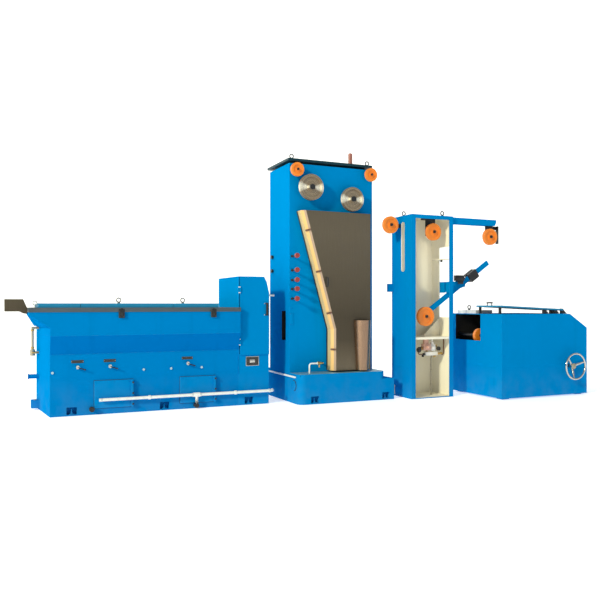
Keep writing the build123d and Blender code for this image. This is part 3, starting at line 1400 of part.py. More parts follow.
wheel = rod(wheel_hub_radius, (wheel_place, wheel_y - wheel_hub_length / 2, wheel_level),
            (wheel_place, wheel_y + wheel_hub_length / 2, wheel_level))
for i in range(wheel_spoke_count):
    turn = radians(wheel_first_spoke + i * 360 / wheel_spoke_count)
    wheel += rod(wheel_spoke_radius, wheel_point(turn, 0), wheel_point(turn, rim_circle, rim_y))
rim_section = RectangleRounded(2 * wheel_rim_radius, 2 * wheel_rim_radius, wheel_rim_rounding)
rim = revolve(Plane.XZ * Pos(rim_circle) * rim_section, axis=Axis.Z)
wheel += Pos(wheel_place, rim_y, wheel_level) * Rot(X=90) * rim
wheel -= rod(wheel_bore_radius, (wheel_place, wheel_y - wheel_hub_length, wheel_level),
             (wheel_place, wheel_y + wheel_hub_length, wheel_level))
nodes["handwheel"] = wheel
spindles.append(spindle(wheel_bore_radius, wheel_hub_length, (wheel_place, wheel_y, wheel_level),
                        takeup_front, wheel_bore_radius))

nodes["spindles"] = Compound(children=spindles)

# Move the whole line so that its origin is the middle of its footprint, then write one file per node
boxes = [shape.bounding_box() for shape in nodes.values()]
middle_x = (min(box.min.X for box in boxes) + max(box.max.X for box in boxes)) / 2
middle_y = (min(box.min.Y for box in boxes) + max(box.max.Y for box in boxes)) / 2
floor_z = min(box.min.Z for box in boxes)
shift = Pos(-middle_x, -middle_y, -floor_z)
os.makedirs("parts", exist_ok=True)
for name, shape in nodes.items():
    export_step(shift * shape, f"parts/{name}.step")
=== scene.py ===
"""A wire drawing line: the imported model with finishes, small hardware, light and camera."""
import json
from math import cos, pi, radians, sin

import bmesh
import bpy
from mathutils import Matrix, Vector


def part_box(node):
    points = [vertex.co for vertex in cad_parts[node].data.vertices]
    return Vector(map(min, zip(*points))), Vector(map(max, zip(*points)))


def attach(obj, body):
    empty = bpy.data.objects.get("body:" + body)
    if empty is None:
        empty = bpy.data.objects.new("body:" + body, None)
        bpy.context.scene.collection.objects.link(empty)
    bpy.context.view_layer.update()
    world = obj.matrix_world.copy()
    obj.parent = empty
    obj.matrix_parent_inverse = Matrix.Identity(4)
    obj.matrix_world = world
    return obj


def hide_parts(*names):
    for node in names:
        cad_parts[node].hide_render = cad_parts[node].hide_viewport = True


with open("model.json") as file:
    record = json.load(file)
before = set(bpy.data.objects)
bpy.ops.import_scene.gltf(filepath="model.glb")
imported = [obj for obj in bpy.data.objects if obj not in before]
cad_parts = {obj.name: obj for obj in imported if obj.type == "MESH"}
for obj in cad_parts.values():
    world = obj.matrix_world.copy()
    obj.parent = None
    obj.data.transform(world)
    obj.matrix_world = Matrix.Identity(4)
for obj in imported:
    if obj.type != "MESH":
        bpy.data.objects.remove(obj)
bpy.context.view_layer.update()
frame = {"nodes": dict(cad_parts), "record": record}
nodes = frame["nodes"]

# Camera at the photograph's viewing angle: level, at eye height, turned towards the take-up
PICTURE = 600
SENSOR = 36.0
FOCAL_PIXELS = 665.0
HORIZON_DROP = 4.5
TURN = radians(24)
EYE = (-4.463, -9.244, 1.5)
camera_data = bpy.data.cameras.new("camera")
camera_data.sensor_width = SENSOR
camera_data.lens = SENSOR * FOCAL_PIXELS / PICTURE
camera_data.shift_y = HORIZON_DROP / PICTURE
camera = bpy.data.objects.new("camera", camera_data)
camera.location = EYE
camera.rotation_euler = (radians(90), 0, -TURN)
bpy.context.collection.objects.link(camera)
bpy.context.scene.camera = camera

# Soft light: a pale surround, and a broad key from the left and front
SURROUND_COLOUR = (0.84, 0.93, 1.0)
SURROUND_STRENGTH = 0.42
KEY_PLACE = (-40.0, -21.0, 20.5)
KEY_TARGET = (0.0, 0.0, 1.2)
KEY_SIZE = 4.8
KEY_POWER = 19500
KEY_COLOUR = (1.0, 0.95, 0.68)
world = bpy.data.worlds.new("surround")
bpy.context.scene.world = world
world.use_nodes = True
background = world.node_tree.nodes["Background"]
background.inputs["Color"].default_value = (*SURROUND_COLOUR, 1)
background.inputs["Strength"].default_value = SURROUND_STRENGTH
bpy.context.scene.view_settings.view_transform = "Standard"


def area_light(name, place, target, size, power, colour):
    """A square soft light that faces its target."""
    data = bpy.data.lights.new(name, "AREA")
    data.shape = "SQUARE"
    data.size = size
    data.energy = power
    data.color = colour
    lamp = bpy.data.objects.new(name, data)
    lamp.location = place
    lamp.rotation_euler = (Vector(target) - Vector(place)).to_track_quat("-Z", "Y").to_euler()
    bpy.context.collection.objects.link(lamp)


area_light("key", KEY_PLACE, KEY_TARGET, KEY_SIZE, KEY_POWER, KEY_COLOUR)

# Pale floor that sweeps up into a backdrop behind the machines
FLOOR_REACH = 250.0
CURVE_START = 9.0
CURVE_RADIUS = 6.0
WALL_TOP = 30.0
FLOOR_DROP = 0.0005
floor_mesh = bpy.data.meshes.new("floor")
sweep = [(-FLOOR_REACH, 0.0), (CURVE_START, 0.0)]
for turn in range(10, 91, 10):
    angle = radians(turn)
    sweep.append((CURVE_START + CURVE_RADIUS * sin(angle), CURVE_RADIUS - CURVE_RADIUS * cos(angle)))
sweep.append((CURVE_START + CURVE_RADIUS, WALL_TOP))
rows = [(x, y, z) for y, z in sweep for x in (-FLOOR_REACH, FLOOR_REACH)]
floor_mesh.from_pydata(rows, [], [(2 * i, 2 * i + 1, 2 * i + 3, 2 * i + 2) for i in range(len(sweep) - 1)])
for face in floor_mesh.polygons:
    face.use_smooth = True
floor = bpy.data.objects.new("floor", floor_mesh)
floor.location = (0, 0, -FLOOR_DROP)
bpy.context.collection.objects.link(floor)


# Material building blocks; most noise values lie between the two middle ones
MIDDLE = (0.3, 0.7)


def tree_of(name):
    """A new material with its node tree and its shader."""
    material = bpy.data.materials.new(name)
    material.use_nodes = True
    tree = material.node_tree
    shader = tree.nodes["Principled BSDF"]
    return material, tree, shader


def add(tree, kind, **settings):
    """A new node with its properties set."""
    node = tree.nodes.new(kind)
    for key, value in settings.items():
        setattr(node, key, value)
    return node


def coordinates(tree, scale=(1, 1, 1), offset=(0, 0, 0)):
    """Object coordinates, which are metres in the shared frame, stretched by a scale."""
    source = add(tree, "ShaderNodeTexCoord")
    mapping = add(tree, "ShaderNodeMapping")
    mapping.inputs["Scale"].default_value = scale
    mapping.inputs["Location"].default_value = offset
    tree.links.new(source.outputs["Object"], mapping.inputs["Vector"])
    return mapping.outputs["Vector"]


def noise(tree, vector, scale, detail=3.0, rough=0.55):
    """A noise value between 0 and 1."""
    node = add(tree, "ShaderNodeTexNoise")
    node.inputs["Scale"].default_value = scale
    node.inputs["Detail"].default_value = detail
    node.inputs["Roughness"].default_value = rough
    tree.links.new(vector, node.inputs["Vector"])
    return node.outputs["Fac"]


def spread(tree, value, low, high, start=0.0, end=1.0):
    """The value mapped from low..high to start..end and held at those ends."""
    node = add(tree, "ShaderNodeMapRange")
    node.inputs["From Min"].default_value = low
    node.inputs["From Max"].default_value = high
    node.inputs["To Min"].default_value = start
    node.inputs["To Max"].default_value = end
    tree.links.new(value, node.inputs["Value"])
    return node.outputs["Result"]


def calc(tree, operation, first, second):
    """One arithmetic step; the second value may be a number."""
    node = add(tree, "ShaderNodeMath", operation=operation)
    tree.links.new(first, node.inputs[0])
    if isinstance(second, (int, float)):
        node.inputs[1].default_value = second
    else:
        tree.links.new(second, node.inputs[1])
    return node.outputs["Value"]


def blend_colours(tree, share, first, second):
    """Two colours mixed by a share; each is a tuple or a socket."""
    node = add(tree, "ShaderNodeMix", data_type="RGBA")
    tree.links.new(share, node.inputs["Factor"])
    for key, colour in (("A", first), ("B", second)):
        socket = [s for s in node.inputs if s.name == key and s.type == "RGBA"][0]
        if isinstance(colour, tuple):
            socket.default_value = (*colour, 1)
        else:
            tree.links.new(colour, socket)
    return [s for s in node.outputs if s.type == "RGBA"][0]


def edge_mask(tree, radius):
    """Close to 1 along outer and inner corners, 0 on flat faces."""
    bevel = add(tree, "ShaderNodeBevel", samples=4)
    bevel.inputs["Radius"].default_value = radius
    flat = add(tree, "ShaderNodeNewGeometry")
    dot = add(tree, "ShaderNodeVectorMath", operation="DOT_PRODUCT")
    tree.links.new(bevel.outputs["Normal"], dot.inputs[0])
    tree.links.new(flat.outputs["Normal"], dot.inputs[1])
    return spread(tree, dot.outputs["Value"], 0.999, 0.93)


def shade(colour, share):
    """A darker tone of a colour."""
    return tuple(channel * share for channel in colour)


def dust(tree, height):
    """1 at the floor, fading to 0 at a height, broken up by noise."""
    vector = coordinates(tree)
    part = add(tree, "ShaderNodeSeparateXYZ")
    tree.links.new(vector, part.inputs["Vector"])
    fade = spread(tree, part.outputs["Z"], 0.0, height, 1.0, 0.0)
    patches = spread(tree, noise(tree, vector, 5.0, 5.0), 0.38, 0.62)
    return calc(tree, "MULTIPLY", fade, patches)


def bump(tree, shader, height, distance, strength=1.0):
    """Connects a height to the shader's normal."""
    node = add(tree, "ShaderNodeBump")
    node.inputs["Distance"].default_value = distance
    node.inputs["Strength"].default_value = strength
    tree.links.new(height, node.inputs["Height"])
    tree.links.new(node.outputs["Normal"], shader.inputs["Normal"])


ENAMEL_EDGE = 0.006
CAST_EDGE = 0.003
DUST_HEIGHT = 0.5
DUST_COLOUR = (0.34, 0.31, 0.27)


def enamel(name, colour, worn, rough=0.42, wear=0.14, dusty=0.05, gloss_level=0.0):
    """Sprayed machine enamel: faint orange peel, uneven gloss, worn edges and dust near the floor."""
    material, tree, shader = tree_of(name)
    wide = coordinates(tree)
    tone = spread(tree, noise(tree, wide, 1.3, 4.0), *MIDDLE, 0.0, 0.16)
    darker = shade(colour, 0.72)
    base = blend_colours(tree, tone, colour, darker)
    drips = noise(tree, coordinates(tree, (9, 9, 0.5)), 1.0, 5.0)
    base = blend_colours(tree, spread(tree, drips, 0.55, 0.85, 0.0, 0.35), base, darker)
    chipped = spread(tree, noise(tree, wide, 30.0, 5.0), 0.45, 0.62)
    edges = calc(tree, "MULTIPLY", edge_mask(tree, ENAMEL_EDGE), chipped)
    base = blend_colours(tree, calc(tree, "MULTIPLY", edges, wear), base, worn)
    settled = calc(tree, "MULTIPLY", dust(tree, DUST_HEIGHT), dusty)
    base = blend_colours(tree, settled, base, DUST_COLOUR)
    tree.links.new(base, shader.inputs["Base Color"])
    gloss = spread(tree, noise(tree, wide, 7.0, 4.0), *MIDDLE, rough - 0.05, rough + 0.1)
    tree.links.new(gloss, shader.inputs["Roughness"])
    shader.inputs["Specular IOR Level"].default_value = gloss_level
    peel = noise(tree, wide, 380.0, 2.0)
    waves = noise(tree, wide, 9.0, 2.0)
    height = calc(tree, "ADD", calc(tree, "MULTIPLY", waves, 6.0), peel)
    bump(tree, shader, height, 0.0004, 0.5)
    return material


DARK_REFLECTION_FADE = (1.3, 2.6)
DARK_REFLECTION_LOW_FADE = (0.5, 0.95)
DARK_REFLECTION_LOW_SHARE = 0.15


def brushed(name, colour, along, rough=0.36, stain=(0.2, 0.17, 0.14), metallic=0.95, stained=0.4, foot=0.0):
    """Brushed sheet metal: fine lines along one direction, light stains, and where asked a painted dark
    reflection band in its lower part.
    """
    material, tree, shader = tree_of(name)
    lines = noise(tree, coordinates(tree, along), 1.0, 4.0, 0.7)
    wide = coordinates(tree)
    tone = spread(tree, lines, *MIDDLE, 0.0, 0.35)
    base = blend_colours(tree, tone, colour, shade(colour, 0.74))
    cloudy = spread(tree, noise(tree, wide, 2.4, 6.0, 0.62), 0.5, 0.78, 0.0, stained)
    base = blend_colours(tree, cloudy, base, stain)
    # Painted reflection: the foot share darkens a band, darkest from about 0.95 m to 1.3 m, gone by 2.6 m
    # and eased below 0.5 m
    if foot:
        part = add(tree, "ShaderNodeSeparateXYZ")
        tree.links.new(wide, part.inputs["Vector"])
        fade = spread(tree, part.outputs["Z"], *DARK_REFLECTION_FADE, foot, 0.0)
        low = calc(tree, "MULTIPLY", fade, spread(tree, part.outputs["Z"], *DARK_REFLECTION_LOW_FADE, DARK_REFLECTION_LOW_SHARE, 1.0))
        base = blend_colours(tree, low, base, shade(colour, 0.3))
    tree.links.new(base, shader.inputs["Base Color"])
    shader.inputs["Metallic"].default_value = metallic
    gloss = spread(tree, lines, *MIDDLE, rough - 0.08, rough + 0.1)
    tree.links.new(gloss, shader.inputs["Roughness"])
    bump(tree, shader, lines, 0.0003, 0.5)
    return material


def cast(name, colour, rough=0.5, metallic=0.0, worn=None, grain=160.0):
    """Painted or bare casting: fine grain, uneven tone and worn edges."""
    material, tree, shader = tree_of(name)
    wide = coordinates(tree)
    tone = spread(tree, noise(tree, wide, 14.0, 5.0), *MIDDLE, 0.0, 0.4)
    base = blend_colours(tree, tone, colour, shade(colour, 0.66))
    if worn:
        chipped = spread(tree, noise(tree, wide, 60.0), 0.4, 0.6)
        edges = calc(tree, "MULTIPLY", edge_mask(tree, CAST_EDGE), chipped)
        base = blend_colours(tree, calc(tree, "MULTIPLY", edges, 0.6), base, worn)
    tree.links.new(base, shader.inputs["Base Color"])
    shader.inputs["Metallic"].default_value = metallic
    gloss = spread(tree, noise(tree, wide, 22.0, 4.0), *MIDDLE, rough - 0.08, rough + 0.1)
    tree.links.new(gloss, shader.inputs["Roughness"])
    bump(tree, shader, noise(tree, wide, grain, 3.0), 0.0005, 0.5)
    return material


def turned(name, centre, colour, streak, rough=0.24, pitch=420.0):
    """Lathe-turned steel for a wheel about Y: rings round its centre and a painted highlight, a light streak
    to each side.
    """
    material, tree, shader = tree_of(name)
    place = add(tree, "ShaderNodeVectorMath", operation="SUBTRACT")
    tree.links.new(coordinates(tree), place.inputs[0])
    place.inputs[1].default_value = centre
    flat = add(tree, "ShaderNodeVectorMath", operation="MULTIPLY")
    tree.links.new(place.outputs["Vector"], flat.inputs[0])
    flat.inputs[1].default_value = (1, 0, 1)
    away = add(tree, "ShaderNodeVectorMath", operation="LENGTH")
    tree.links.new(flat.outputs["Vector"], away.inputs[0])
    rings = add(tree, "ShaderNodeCombineXYZ")
    tree.links.new(away.outputs["Value"], rings.inputs["X"])
    lines = noise(tree, rings.outputs["Vector"], pitch, 4.0, 0.7)
    cloudy = noise(tree, coordinates(tree), 11.0, 5.0)
    base = blend_colours(tree, spread(tree, lines, *MIDDLE, 0.0, 0.5), colour, shade(colour, 0.6))
    base = blend_colours(tree, spread(tree, cloudy, 0.5, 0.8, 0.0, 0.4), base, (0.33, 0.27, 0.2))
    broad = noise(tree, rings.outputs["Vector"], 62.0, 2.0)
    base = blend_colours(tree, spread(tree, broad, 0.42, 0.58, 0.0, 0.55), base, shade(colour, 0.45))
    parts = add(tree, "ShaderNodeSeparateXYZ")
    tree.links.new(flat.outputs["Vector"], parts.inputs["Vector"])
    # Painted highlight: the colour turns light where a point lies level with the centre, a streak to each
    # side for a lamp's reflection
    highlight_share = calc(tree, "DIVIDE", calc(tree, "ABSOLUTE", parts.outputs["X"], 0.0), away.outputs["Value"])
    base = blend_colours(tree, spread(tree, highlight_share, 0.9, 1.0, 0.0, 1.0), base, streak)
    tree.links.new(base, shader.inputs["Base Color"])
    shader.inputs["Metallic"].default_value = 0.55
    gloss = spread(tree, lines, *MIDDLE, rough - 0.05, rough + 0.12)
    tree.links.new(gloss, shader.inputs["Roughness"])
    shader.inputs["Anisotropic"].default_value = 0.75
    tangent = add(tree, "ShaderNodeTangent", direction_type="RADIAL", axis="Y")
    tree.links.new(tangent.outputs["Tangent"], shader.inputs["Tangent"])
    bump(tree, shader, lines, 0.0003, 0.6)
    return material


def moulded(name, colour, rough=0.28, coat=0.3):
    """Moulded plastic or lacquer with faint unevenness."""
    material, tree, shader = tree_of(name)
    wide = coordinates(tree)
    tone = spread(tree, noise(tree, wide, 25.0, 4.0), *MIDDLE, 0.0, 0.3)
    tree.links.new(blend_colours(tree, tone, colour, shade(colour, 0.7)), shader.inputs["Base Color"])
    gloss = spread(tree, noise(tree, wide, 40.0), *MIDDLE, rough, rough + 0.12)
    tree.links.new(gloss, shader.inputs["Roughness"])
    shader.inputs["Coat Weight"].default_value = coat
    bump(tree, shader, noise(tree, wide, 250.0, 2.0), 0.0003, 0.3)
    return material


# Finishes: one for each slot of the record, then the ones that only this script uses
BLUE = (0.0, 0.22, 0.58)
PRIMER = (0.16, 0.24, 0.3)
CREAM = (0.93, 0.88, 0.74)
LEFT_CONTACT = (-0.145, 0.0, 3.304)
RIGHT_CONTACT = (0.572, 0.0, 3.163)
TURNED_BASE = (0.42, 0.33, 0.23)
# Colour of the painted highlight streaks on the turned wheels
TURNED_HIGHLIGHT = (1.0, 0.93, 0.76)
finish = {
    "machine_blue": enamel("blue_enamel", BLUE, PRIMER),
    "lid_blue": enamel("lid_enamel", (0.012, 0.21, 0.42), PRIMER, 0.45, 0.5, 0.0, 0.2),
    "column_cream": enamel("cream_enamel", CREAM, (0.4, 0.36, 0.3), 0.45, 0.25, 0.05, 0.3),
    # Stainless: a dark brown-grey base and a dark band low on the sheet, both painted reflection of dark
    # surroundings
    "stainless": brushed("stainless", (0.22, 0.18, 0.125), (260, 260, 4), 0.42, foot=0.75),
    "roof_dark": enamel("roof_enamel", (0.002, 0.032, 0.05), PRIMER, 0.45, 0.3, 0.0, 0.3),
    "sheave_orange": cast("orange_casting", (0.9, 0.25, 0.022), 0.34, 0.0, (0.5, 0.33, 0.2)),
    "black_steel": cast("black_steel", (0.014, 0.015, 0.018), 0.42, 0.0, (0.12, 0.12, 0.12)),
    "bright_steel": cast("bright_steel", (0.6, 0.59, 0.56), 0.28, 1.0),
    "galvanised": cast("galvanised", (0.78, 0.8, 0.8), 0.42, 0.4, None, 90.0),
    "copper_tone": brushed("copper_tone", (0.34, 0.22, 0.15), (150, 150, 1.5), 0.3, (0.27, 0.165, 0.11)),
    "knob_red": moulded("knob_red", (0.31, 0.036, 0.03), 0.35, 0.1),
    "lamp_red": moulded("lamp_red", (0.34, 0.12, 0.09), 0.22, 0.5),
    "plate_black": moulded("plate_black", (0.012, 0.012, 0.013), 0.3),
    "chrome": brushed("chrome", (0.62, 0.6, 0.57), (60, 60, 60), 0.14, (0.3, 0.26, 0.22), 1.0, 0.2),
    "dull_steel": cast("dull_steel", (0.36, 0.34, 0.31), 0.38, 1.0),
}
contact_left_finish = turned("turned_left", LEFT_CONTACT, TURNED_BASE, TURNED_HIGHLIGHT)
contact_right_finish = turned("turned_right", RIGHT_CONTACT, TURNED_BASE, TURNED_HIGHLIGHT)
# Painted shadow: near-black for inner faces that stand in shade
shadow_black = cast("painted_shadow_inner", (0.006, 0.006, 0.007), 0.6)
# Painted light: a warm yellow copy of the sheet for the cover's sunlit left side
sunlit_side_sheet = brushed("sunlit_side_sheet", (0.82, 0.59, 0.28), (260, 260, 4), 0.5, (0.6, 0.42, 0.18), 0.2, 0.3)
# Painted reflection: a pale blue-grey for the tray's lip and sheet, standing in for reflections on their
# tops
painted_reflection_rim = brushed("painted_reflection_rim", (0.2, 0.41, 0.53), (4, 260, 260), 0.5, (0.16, 0.32, 0.4), 0.3)
rim_sheet = brushed("rim_sheet", (0.12, 0.15, 0.17), (4, 260, 260), 0.4, (0.09, 0.1, 0.11))
plug_face = cast("plug_face", (0.42, 0.6, 0.7), 0.45, 0.2, None, 90.0)
# Painted shade: a slightly darker copy of the machine blue for the drawing machine's base, tank and weld
# beads
shaded_base_blue = enamel("shaded_base_enamel", (0.0, 0.195, 0.545), PRIMER)
# Painted shade: a darker copy of the blue for the sloping underside that faces down
painted_shade_blue = enamel("painted_shade_enamel", (0.0, 0.155, 0.5), PRIMER)
BEVEL_MIDDLE = -0.031
BEVEL_BLEND = 0.004


def bevel_sheet(name, warm, tan):
    """The cover's folded bevel: a painted warm sheen behind its middle line and a duller painted tan before
    it, light and shade on the stainless.
    """
    material = brushed(name, warm, (260, 260, 4), 0.5, tan, 0.3, 0.2)
    tree = material.node_tree
    shader = tree.nodes["Principled BSDF"]
    own = shader.inputs["Base Color"].links[0].from_socket
    part = add(tree, "ShaderNodeSeparateXYZ")
    tree.links.new(coordinates(tree), part.inputs["Vector"])
    front = spread(tree, part.outputs["Y"], BEVEL_MIDDLE + BEVEL_BLEND, BEVEL_MIDDLE - BEVEL_BLEND)
    tree.links.new(blend_colours(tree, front, own, tan), shader.inputs["Base Color"])
    return material


# Painted light and shade for the cover's bevel
painted_bevel_light = bevel_sheet("painted_bevel_light", (0.78, 0.5, 0.2), (0.4, 0.29, 0.22))
brass = cast("brass", (0.62, 0.42, 0.16), 0.3, 1.0)
pink_cast = cast("pink_casting", (0.72, 0.42, 0.33), 0.5)
white_plastic = moulded("white_plastic", (0.82, 0.8, 0.76), 0.35, 0.2)
brown_hose = moulded("brown_hose", (0.16, 0.06, 0.03), 0.45, 0.0)
pipe_white = cast("pipe_white", (0.9, 0.91, 0.9), 0.4, 0.0, None, 90.0)
pipe_worn = cast("pipe_worn", (0.4, 0.36, 0.28), 0.5, 0.3, None, 90.0)
clamp_tan = cast("clamp_tan", (0.15, 0.07, 0.05), 0.5)
rubber = cast("rubber", (0.02, 0.02, 0.021), 0.7, 0.0, None, 240.0)


def pale_floor():
    """Matt pale floor with a faint mottle, a little self-lit so that it reads as a light studio."""
    material, tree, shader = tree_of("floor_pale")
    mottle = spread(tree, noise(tree, coordinates(tree), 0.8, 4.0), *MIDDLE)
    tone = blend_colours(tree, mottle, (0.9, 0.9, 0.9), (0.87, 0.87, 0.87))
    tree.links.new(tone, shader.inputs["Base Color"])
    shader.inputs["Roughness"].default_value = 0.9
    shader.inputs["Emission Color"].default_value = (1, 1, 1, 1)
    shader.inputs["Emission Strength"].default_value = 0.5
    return material


floor_mesh.materials.append(pale_floor())

# Every CAD node gets the finish of its slot and smooth faces that break at its edges
NODE_SPLIT = radians(28)
PIECE_SPLIT = radians(35)
slots = {row["node"]: row["material_slot"] for row in frame["record"]["subparts"]}
for name, node in nodes.items():
    node.data.materials.clear()
    node.data.materials.append(finish[slots[name]])
    for face in node.data.polygons:
        face.use_smooth = True
    split = node.modifiers.new("split", "EDGE_SPLIT")
    split.split_angle = NODE_SPLIT


def repaint(name, material, chosen):
    """The faces of a node that a test picks by centre and normal take another finish."""
    mesh = nodes[name].data
    mesh.materials.append(material)
    index = len(mesh.materials) - 1
    for face in mesh.polygons:
        if chosen(face.center, face.normal):
            face.material_index = index


# Nodes that differ from their slot as a whole
whole = {
    "contact_sheave_left": contact_left_finish, "contact_sheave_right": contact_right_finish,
    # The drawing machine's base and tank take the darker painted-shade copy of the blue
    "tank_rim": rim_sheet, "draw_base": shaded_base_blue, "draw_tank": shaded_base_blue,
    "lever_valves": finish["machine_blue"], "hinge_ears": finish["galvanised"],
    "coolant_pipe": pipe_white, "tower_pipework": pipe_white, "end_pipe": pipe_worn,
    "cover_clamps": clamp_tan, "spindles": finish["black_steel"], "lifting_eyes": finish["black_steel"],
    "eye_middle": finish["dull_steel"], "eye_right": finish["dull_steel"],
}
for name, material in whole.items():
    nodes[name].data.materials[0] = material

# Cream inside the column; a painted shadow in black inside the take-up and the tower's wire window
column_low, column_high = (Vector(corner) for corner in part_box("dancer_column"))
takeup_low, takeup_high = (Vector(corner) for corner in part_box("takeup_housing"))
tower_low, tower_high = (Vector(corner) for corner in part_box("annealer_tower"))
SHEET = 0.003
LUG = 0.09
FLANGE = 0.0135
COLUMN_DEPTH = 0.59
SHOULDER_DROP = 0.3
SHOULDER_RUN = 0.4
SKIRT = 0.05
WINDOW_DEPTH = 0.1
column_body = (Vector((column_low.x + LUG, column_low.y, column_low.z)),
               Vector((column_high.x, column_low.y + COLUMN_DEPTH, column_high.z)))


def column_inner(centre, normal):
    """The sheet faces that look into the column."""
    low, high = column_body
    within = low.x + SHEET < centre.x < high.x - SHEET and centre.y < high.y - SHEET
    return within and centre.y > low.y + FLANGE and centre.z < high.z - SHEET


def takeup_inner(centre, normal):
    """The sheet faces that look into the take-up."""
    low, high = takeup_low, takeup_high
    within = low.x + SHEET < centre.x < high.x - SHEET and low.y + SHEET < centre.y < high.y - SHEET
    slope = centre.z > high.z - SHOULDER_DROP and centre.x > high.x - SHOULDER_RUN and normal.z > 0.2
    return within and SKIRT < centre.z < high.z - SHEET and not slope


def window_inner(centre, normal):
    """The recess behind the tower's wire window."""
    within = tower_low.x + SHEET < centre.x < tower_low.x + WINDOW_DEPTH
    return within and tower_low.y + SHEET < centre.y < tower_high.y - SHEET


repaint("dancer_column", finish["column_cream"], column_inner)
# Painted shadow on the take-up's inner faces and in the recess behind the tower's wire window
repaint("takeup_housing", shadow_black, takeup_inner)
repaint("annealer_tower", shadow_black, window_inner)

# Painted light on the cover: its left side takes a warm yellow for sunlight on the stainless, and its bevel
# a painted sheen and a duller tan
repaint("annealer_cover", sunlit_side_sheet, lambda centre, normal: normal.x < -0.9)
repaint("annealer_cover", painted_bevel_light, lambda centre, normal: -0.9 <= normal.x < -0.3 and normal.y < -0.2)

# The drawing machine's sloping underside takes a painted shade, the tray's lip a lighter painted reflection,
# and fittings are brass or black
repaint("draw_base", painted_shade_blue, lambda centre, normal: normal.z < -0.1 and normal.y < -0.5)
LIP_LEVEL = 0.449
repaint("annealer_plinth", painted_reflection_rim, lambda centre, normal: centre.z > LIP_LEVEL)
FITTING_LEFT, FITTING_LOW = -0.06, 0.5
repaint("tower_pipework", brass, lambda centre, normal: centre.x > FITTING_LEFT and centre.z > FITTING_LOW)
GRIP_LEFT, GRIP_LOW, GRIP_HIGH = 0.055, 1.7, 2.0
repaint("cover_clamps", finish["black_steel"],
        lambda centre, normal: centre.x > GRIP_LEFT and GRIP_LOW < centre.z < GRIP_HIGH)
COUPLING_TOP = 0.135
STEM_START = 0.046
repaint("coolant_pipe", finish["black_steel"], lambda centre, normal: centre.z < COUPLING_TOP)
valve_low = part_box("flow_valves")[0]
repaint("flow_valves", finish["black_steel"], lambda centre, normal: centre.y > valve_low[1] + STEM_START)

# Plugs on the drawing machine are light at their faces, and its lever valves blue but for the knob
LEVER_PLACES = (-3.558, -3.135, -2.052)
TOWER_SIDE = -0.46
PLUG_FACE = 0.154
KNOB_REACH = 0.02
repaint("blanking_caps", plug_face,
        lambda centre, normal: centre.x < TOWER_SIDE and centre.y < PLUG_FACE and normal.y < -0.9)
repaint("blanking_caps", finish["machine_blue"],
        lambda centre, normal: centre.x < TOWER_SIDE and normal.y > -0.5)
repaint("lever_valves", finish["bright_steel"],
        lambda centre, normal: min(abs(centre.x - place) for place in LEVER_PLACES) < KNOB_REACH)

# Small hardware is built in millimetres on the line's own axes, as in the CAD source
LINE_START = (-3.906, 0.1635, 0.0)
LINE_TO_FRAME = Matrix.Translation(LINE_START) @ Matrix.Scale(0.001, 4)
UP = (0, 0, 1)
FRONT = (0, -1, 0)
LEFT = (-1, 0, 0)
RIGHT = (1, 0, 0)
BACK = (0, 1, 0)
DOWN = (0, 0, -1)


def turn_to(axis, place):
    """The matrix that stands a form built along Z on a place, along an axis."""
    return Matrix.Translation(place) @ Vector(axis).to_track_quat("Z", "Y").to_matrix().to_4x4()


def circle(radius, along, sides):
    """Points of a circle round Z, at a distance along it."""
    turns = [2 * pi * i / sides for i in range(sides)]
    return [Vector((radius * cos(turn), radius * sin(turn), along)) for turn in turns]


def turned_form(form, profile, place, axis, sides=20):
    """A round form from pairs of radius and distance along an axis, closed at both ends."""
    matrix = turn_to(axis, place)
    rings = []
    for radius, along in profile:
        rings.append([form.verts.new(matrix @ point) for point in circle(radius, along, sides)])
    for lower, upper in zip(rings, rings[1:]):
        for i in range(sides):
            form.faces.new((lower[i], lower[(i + 1) % sides], upper[(i + 1) % sides], upper[i]))
    form.faces.new(rings[0][::-1])
    form.faces.new(rings[-1])


def slab(form, low, high, bevel=1.5):
    """A block between two corners with its edges rounded off."""
    start = Vector(low)
    size = Vector(high) - start
    made = bmesh.ops.create_cube(form, size=1.0)["verts"]
    for vert in made:
        vert.co = Vector((start[i] + (vert.co[i] + 0.5) * size[i] for i in range(3)))
    edges = dict.fromkeys(edge for vert in made for edge in vert.link_edges)
    bmesh.ops.bevel(form, geom=list(edges), offset=bevel, segments=2, profile=0.5, affect="EDGES")


def tube(form, radius, points, sides=14):
    """A round tube through a list of points, its rings turned halfway at each corner."""
    route = [Vector(point) for point in points]
    ways = [(b - a).normalized() for a, b in zip(route, route[1:])]
    ways = [ways[0]] + [(a + b).normalized() for a, b in zip(ways, ways[1:])] + [ways[-1]]
    rings = []
    for place, way in zip(route, ways):
        matrix = turn_to(way, place)
        rings.append([form.verts.new(matrix @ point) for point in circle(radius, 0, sides)])
    for lower, upper in zip(rings, rings[1:]):
        shift = min(range(sides), key=lambda s: (lower[0].co - upper[s].co).length)
        for i in range(sides):
            near, far = upper[(i + shift) % sides], upper[(i + 1 + shift) % sides]
            form.faces.new((lower[i], lower[(i + 1) % sides], far, near))
    form.faces.new(rings[0][::-1])
    form.faces.new(rings[-1])


def arc(centre, radius, start, end, plane, steps=8):
    """Points of an arc in a plane given by its two directions; angles in degrees."""
    first, second = Vector(plane[0]), Vector(plane[1])
    angles = [radians(start + (end - start) * i / steps) for i in range(steps + 1)]
    return [Vector(centre) + radius * (cos(a) * first + sin(a) * second) for a in angles]


WASHER_SHARE = 0.72
HEX_CORNER_SHARE = 1.1547


